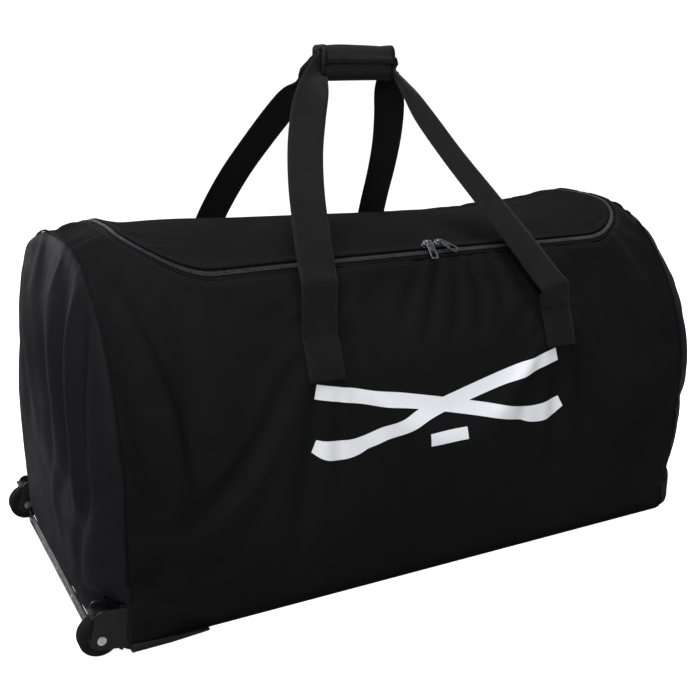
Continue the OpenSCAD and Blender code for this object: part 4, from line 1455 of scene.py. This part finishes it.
def base():
    """The stiff sheet under the bag, with its corners cut out for the wheel housings."""
    lo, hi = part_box("base_panel")
    nx, ny = -0.3985, 0.2015
    x0, x1, y1 = lo.x + 0.002, hi.x - 0.001, hi.y - 0.0035
    outline = [(x0, -ny), (nx, -ny), (nx, -y1)]
    outline += circle_points(x1 - 0.03, -y1 + 0.03, 0.03, 10, -math.pi / 2, 0)
    outline += circle_points(x1 - 0.03, y1 - 0.03, 0.03, 10, 0, math.pi / 2)
    outline += [(nx, y1), (nx, ny), (x0, ny)]
    plate = outline_plate("base_sheet", [outline], 0.0036, 0.0012,
                          Matrix.Translation((0, 0, 0.0019)), mats["board"])
    ride(plate, "bag", "board", "base_panel")


base()

KEPT = {"base_board": "board", "backing_plate_front": "board", "backing_plate_rear": "board",
        "axle_front": "rivet", "axle_rear": "rivet", "bush_front": "bush", "bush_rear": "bush",
        "housing_rivets_front": "rivet", "housing_rivets_rear": "rivet"}
for name, mat in KEPT.items():
    obj = frame["nodes"][name]
    obj.data.materials.clear()
    obj.data.materials.append(mats[mat])


# ---- Pull handle on the far end ------------------------------------------------------------------

def end_spot(y, z, off):
    """A place off the pull end's panel."""
    return np.array((float(cap_x(1, y, z)) + off, y, z))


def pull_handle():
    keys = []
    half = 0.0245
    for z, off in ((0.378, 0.0020), (0.360, 0.0020), (0.340, 0.0024), (0.325, 0.005), (0.300, 0.006)):
        keys.append((*end_spot(-0.080, z, off), 0, 1, 0, half, 0))
    keys.append((*end_spot(-0.076, 0.272, 0.007), 0, 0.93, 0.36, half * 0.95, 0.2))
    keys.append((*end_spot(-0.062, 0.248, 0.008), 0, 0.70, 0.72, half * 0.85, 0.3))
    keys.append((*end_spot(-0.036, 0.236, 0.009), 0, 0.25, 0.97, half * 0.78, 0.3))
    keys.append((*end_spot(0.0, 0.233, 0.010), 0, 0, 1, half * 0.76, 0.3))
    keys = np.array(keys)
    other = keys[:-1][::-1].copy()
    other[:, 1] *= -1
    other[:, 4] *= -1
    stations = smooth_path(np.concatenate([keys, other]), 0.005)
    strap = ribbon("pull_handle_strap", stations, WEB_THICK, mats["webbing"])
    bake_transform(strap)
    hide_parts("pull_handle_webbing", "pull_handle_anchors")
    lines = []
    for s in (-1, 1):
        lines += boxed_cross(0.020, 0.3395, 0.3745, 16,
                             lambda u, z: end_spot(s * 0.08 + u, z, 0.0036), (1.0, 0, 0))
    ride(sewing("pull_handle_sewing", lines), "bag", "webbing")


pull_handle()


# ---- Print on the front: two crossed sticks and a puck -------------------------------------------

MARK = (0.006, 0.245)    # middle of the print, as x and z


def printed(name, lines):
    """Bands of ink on the front wall; each line is (path of (x, z), list of half widths)."""
    points, faces, uvs = [], [], []
    for path, halves in lines:
        keys = np.array([(x, z, 0, h) for (x, z), h in zip(path, halves)])
        row = smooth_path(keys, 0.003)
        along = unit(np.gradient(row[:, :2], axis=0))
        cols = 9
        base = len(points)
        for (x, z, _, h), (dx, dz) in zip(row, along):
            for c in np.linspace(-1, 1, cols):
                u, v = MARK[0] + x - dz * h * c, MARK[1] + z + dx * h * c
                place, normal = pressed(u, v, -1)
                points.append(place + normal * 0.0007)
                uvs.append((u, v))
        for i in range(len(row) - 1):
            for j in range(cols - 1):
                a = base + i * cols + j
                faces.append((a, a + 1, a + cols + 1, a + cols))
    obj = new_object(name, points, faces)
    obj.data.materials.append(mats["print"])
    layer = obj.data.uv_layers.new(name="cloth")
    for loop in obj.data.loops:
        layer.data[loop.index].uv = uvs[loop.vertex_index]
    return obj


def make_print():
    """Two crossed sticks with a puck between their blades."""
    w = 0.0092     # half width of a stick's shaft
    sticks = []
    for s in (-1, 1):
        shaft = [(-0.188 * s, 0.045), (-0.07 * s, 0.017), (0.05 * s, -0.0115), (0.124 * s, -0.029)]
        sticks.append((shaft, (w, w, w, w)))
        heel = [(0.122 * s, -0.0285), (0.138 * s, -0.0325), (0.158 * s, -0.0335), (0.178 * s, -0.030),
                (0.194 * s, -0.023)]
        sticks.append((heel, (w, w * 1.2, w * 1.35, w * 1.3, w * 0.9)))
    puck = (((-0.030, -0.040), (0.030, -0.040)), (0.0080, 0.0080))
    ride(printed("front_print", sticks + [puck]), "bag", "panel_fabric")


make_print()


# ---- Stage, light and camera ---------------------------------------------------------------------

def area_light(name, place, target, size, power):
    """A square lamp at place that points at target."""
    data = bpy.data.lights.new(name, "AREA")
    data.shape = "RECTANGLE"
    data.size = data.size_y = size
    data.energy = power
    obj = linked(name, data)
    obj.location = place
    obj.rotation_euler = (Vector(target) - Vector(place)).to_track_quat("-Z", "Y").to_euler()


def show_camera(tree, seen, lit, output):
    """Shows the node seen to the camera and the node lit to every other ray."""
    path, mix = tree.nodes.new("ShaderNodeLightPath"), tree.nodes.new("ShaderNodeMixShader")
    tree.links.new(path.outputs["Is Camera Ray"], mix.inputs["Fac"])
    tree.links.new(lit.outputs[0], mix.inputs[1])
    tree.links.new(seen.outputs[0], mix.inputs[2])
    tree.links.new(mix.outputs[0], tree.nodes[output].inputs["Surface"])


def make_stage():
    """White floor and sky for the camera, greyer for the light they throw, and four lamps."""
    size = 12
    floor = new_object("floor", [(-size, -size, 0), (size, -size, 0), (size, size, 0), (-size, size, 0)],
                       [(0, 1, 2, 3)])
    mat, tree, shader = material("floor_paper", (0.9, 0.9, 0.9), 0.9, 0.1)
    shader.inputs["Emission Color"].default_value = (1, 1, 1, 1)
    shader.inputs["Emission Strength"].default_value = 0.80
    bump(tree, shader, ((noise(tree, 3.0, 2.0), 0.02, 0.001),))
    grey = tree.nodes.new("ShaderNodeBsdfDiffuse")
    grey.inputs["Color"].default_value = (0.50, 0.50, 0.50, 1)
    show_camera(tree, shader, grey, "Material Output")
    floor.data.materials.append(mat)
    world = bpy.data.worlds.new("studio")
    world.use_nodes = True
    tree = world.node_tree
    seen = tree.nodes.new("ShaderNodeBackground")
    lit = tree.nodes["Background"]
    lit.inputs["Color"].default_value = (0.97, 0.98, 1, 1)
    lit.inputs["Strength"].default_value = 0.30
    seen.inputs["Strength"].default_value = 1.1
    seen.inputs["Color"].default_value = (1, 1, 1, 1)
    show_camera(tree, seen, lit, "World Output")
    bpy.context.scene.world = world
    bpy.context.scene.view_settings.view_transform = "Standard"
    area_light("top", (-0.5, -0.5, 2.7), (0, 0, 0.3), 1.5, 60)
    area_light("key", (-1.7, -2.6, 1.8), (0, 0, 0.25), 1.0, 44)
    area_light("right", (2.7, 0.5, 1.3), (0, 0, 0.25), 1.2, 16)
    area_light("back", (-1.5, 2.7, 1.2), (0, 0, 0.25), 1.4, 34)


def make_camera():
    """Looks along the photograph's direction: 28 degrees left of square, 15 degrees down."""
    right = Vector((0.8810, -0.4728, 0.0)).normalized()
    forward = Vector((0.4563, 0.8499, -0.2639)).normalized()
    up = right.cross(forward).normalized()
    right = forward.cross(up)
    data = bpy.data.cameras.new("camera")
    data.lens = 51.1
    data.sensor_width = 36
    cam = linked("camera", data)
    cam.matrix_world = Matrix((
        (right.x, up.x, -forward.x, -0.696),
        (right.y, up.y, -forward.y, -1.2855),
        (right.z, up.z, -forward.z, 0.6625),
        (0, 0, 0, 1)))
    bpy.context.scene.camera = cam


make_stage()
make_camera()
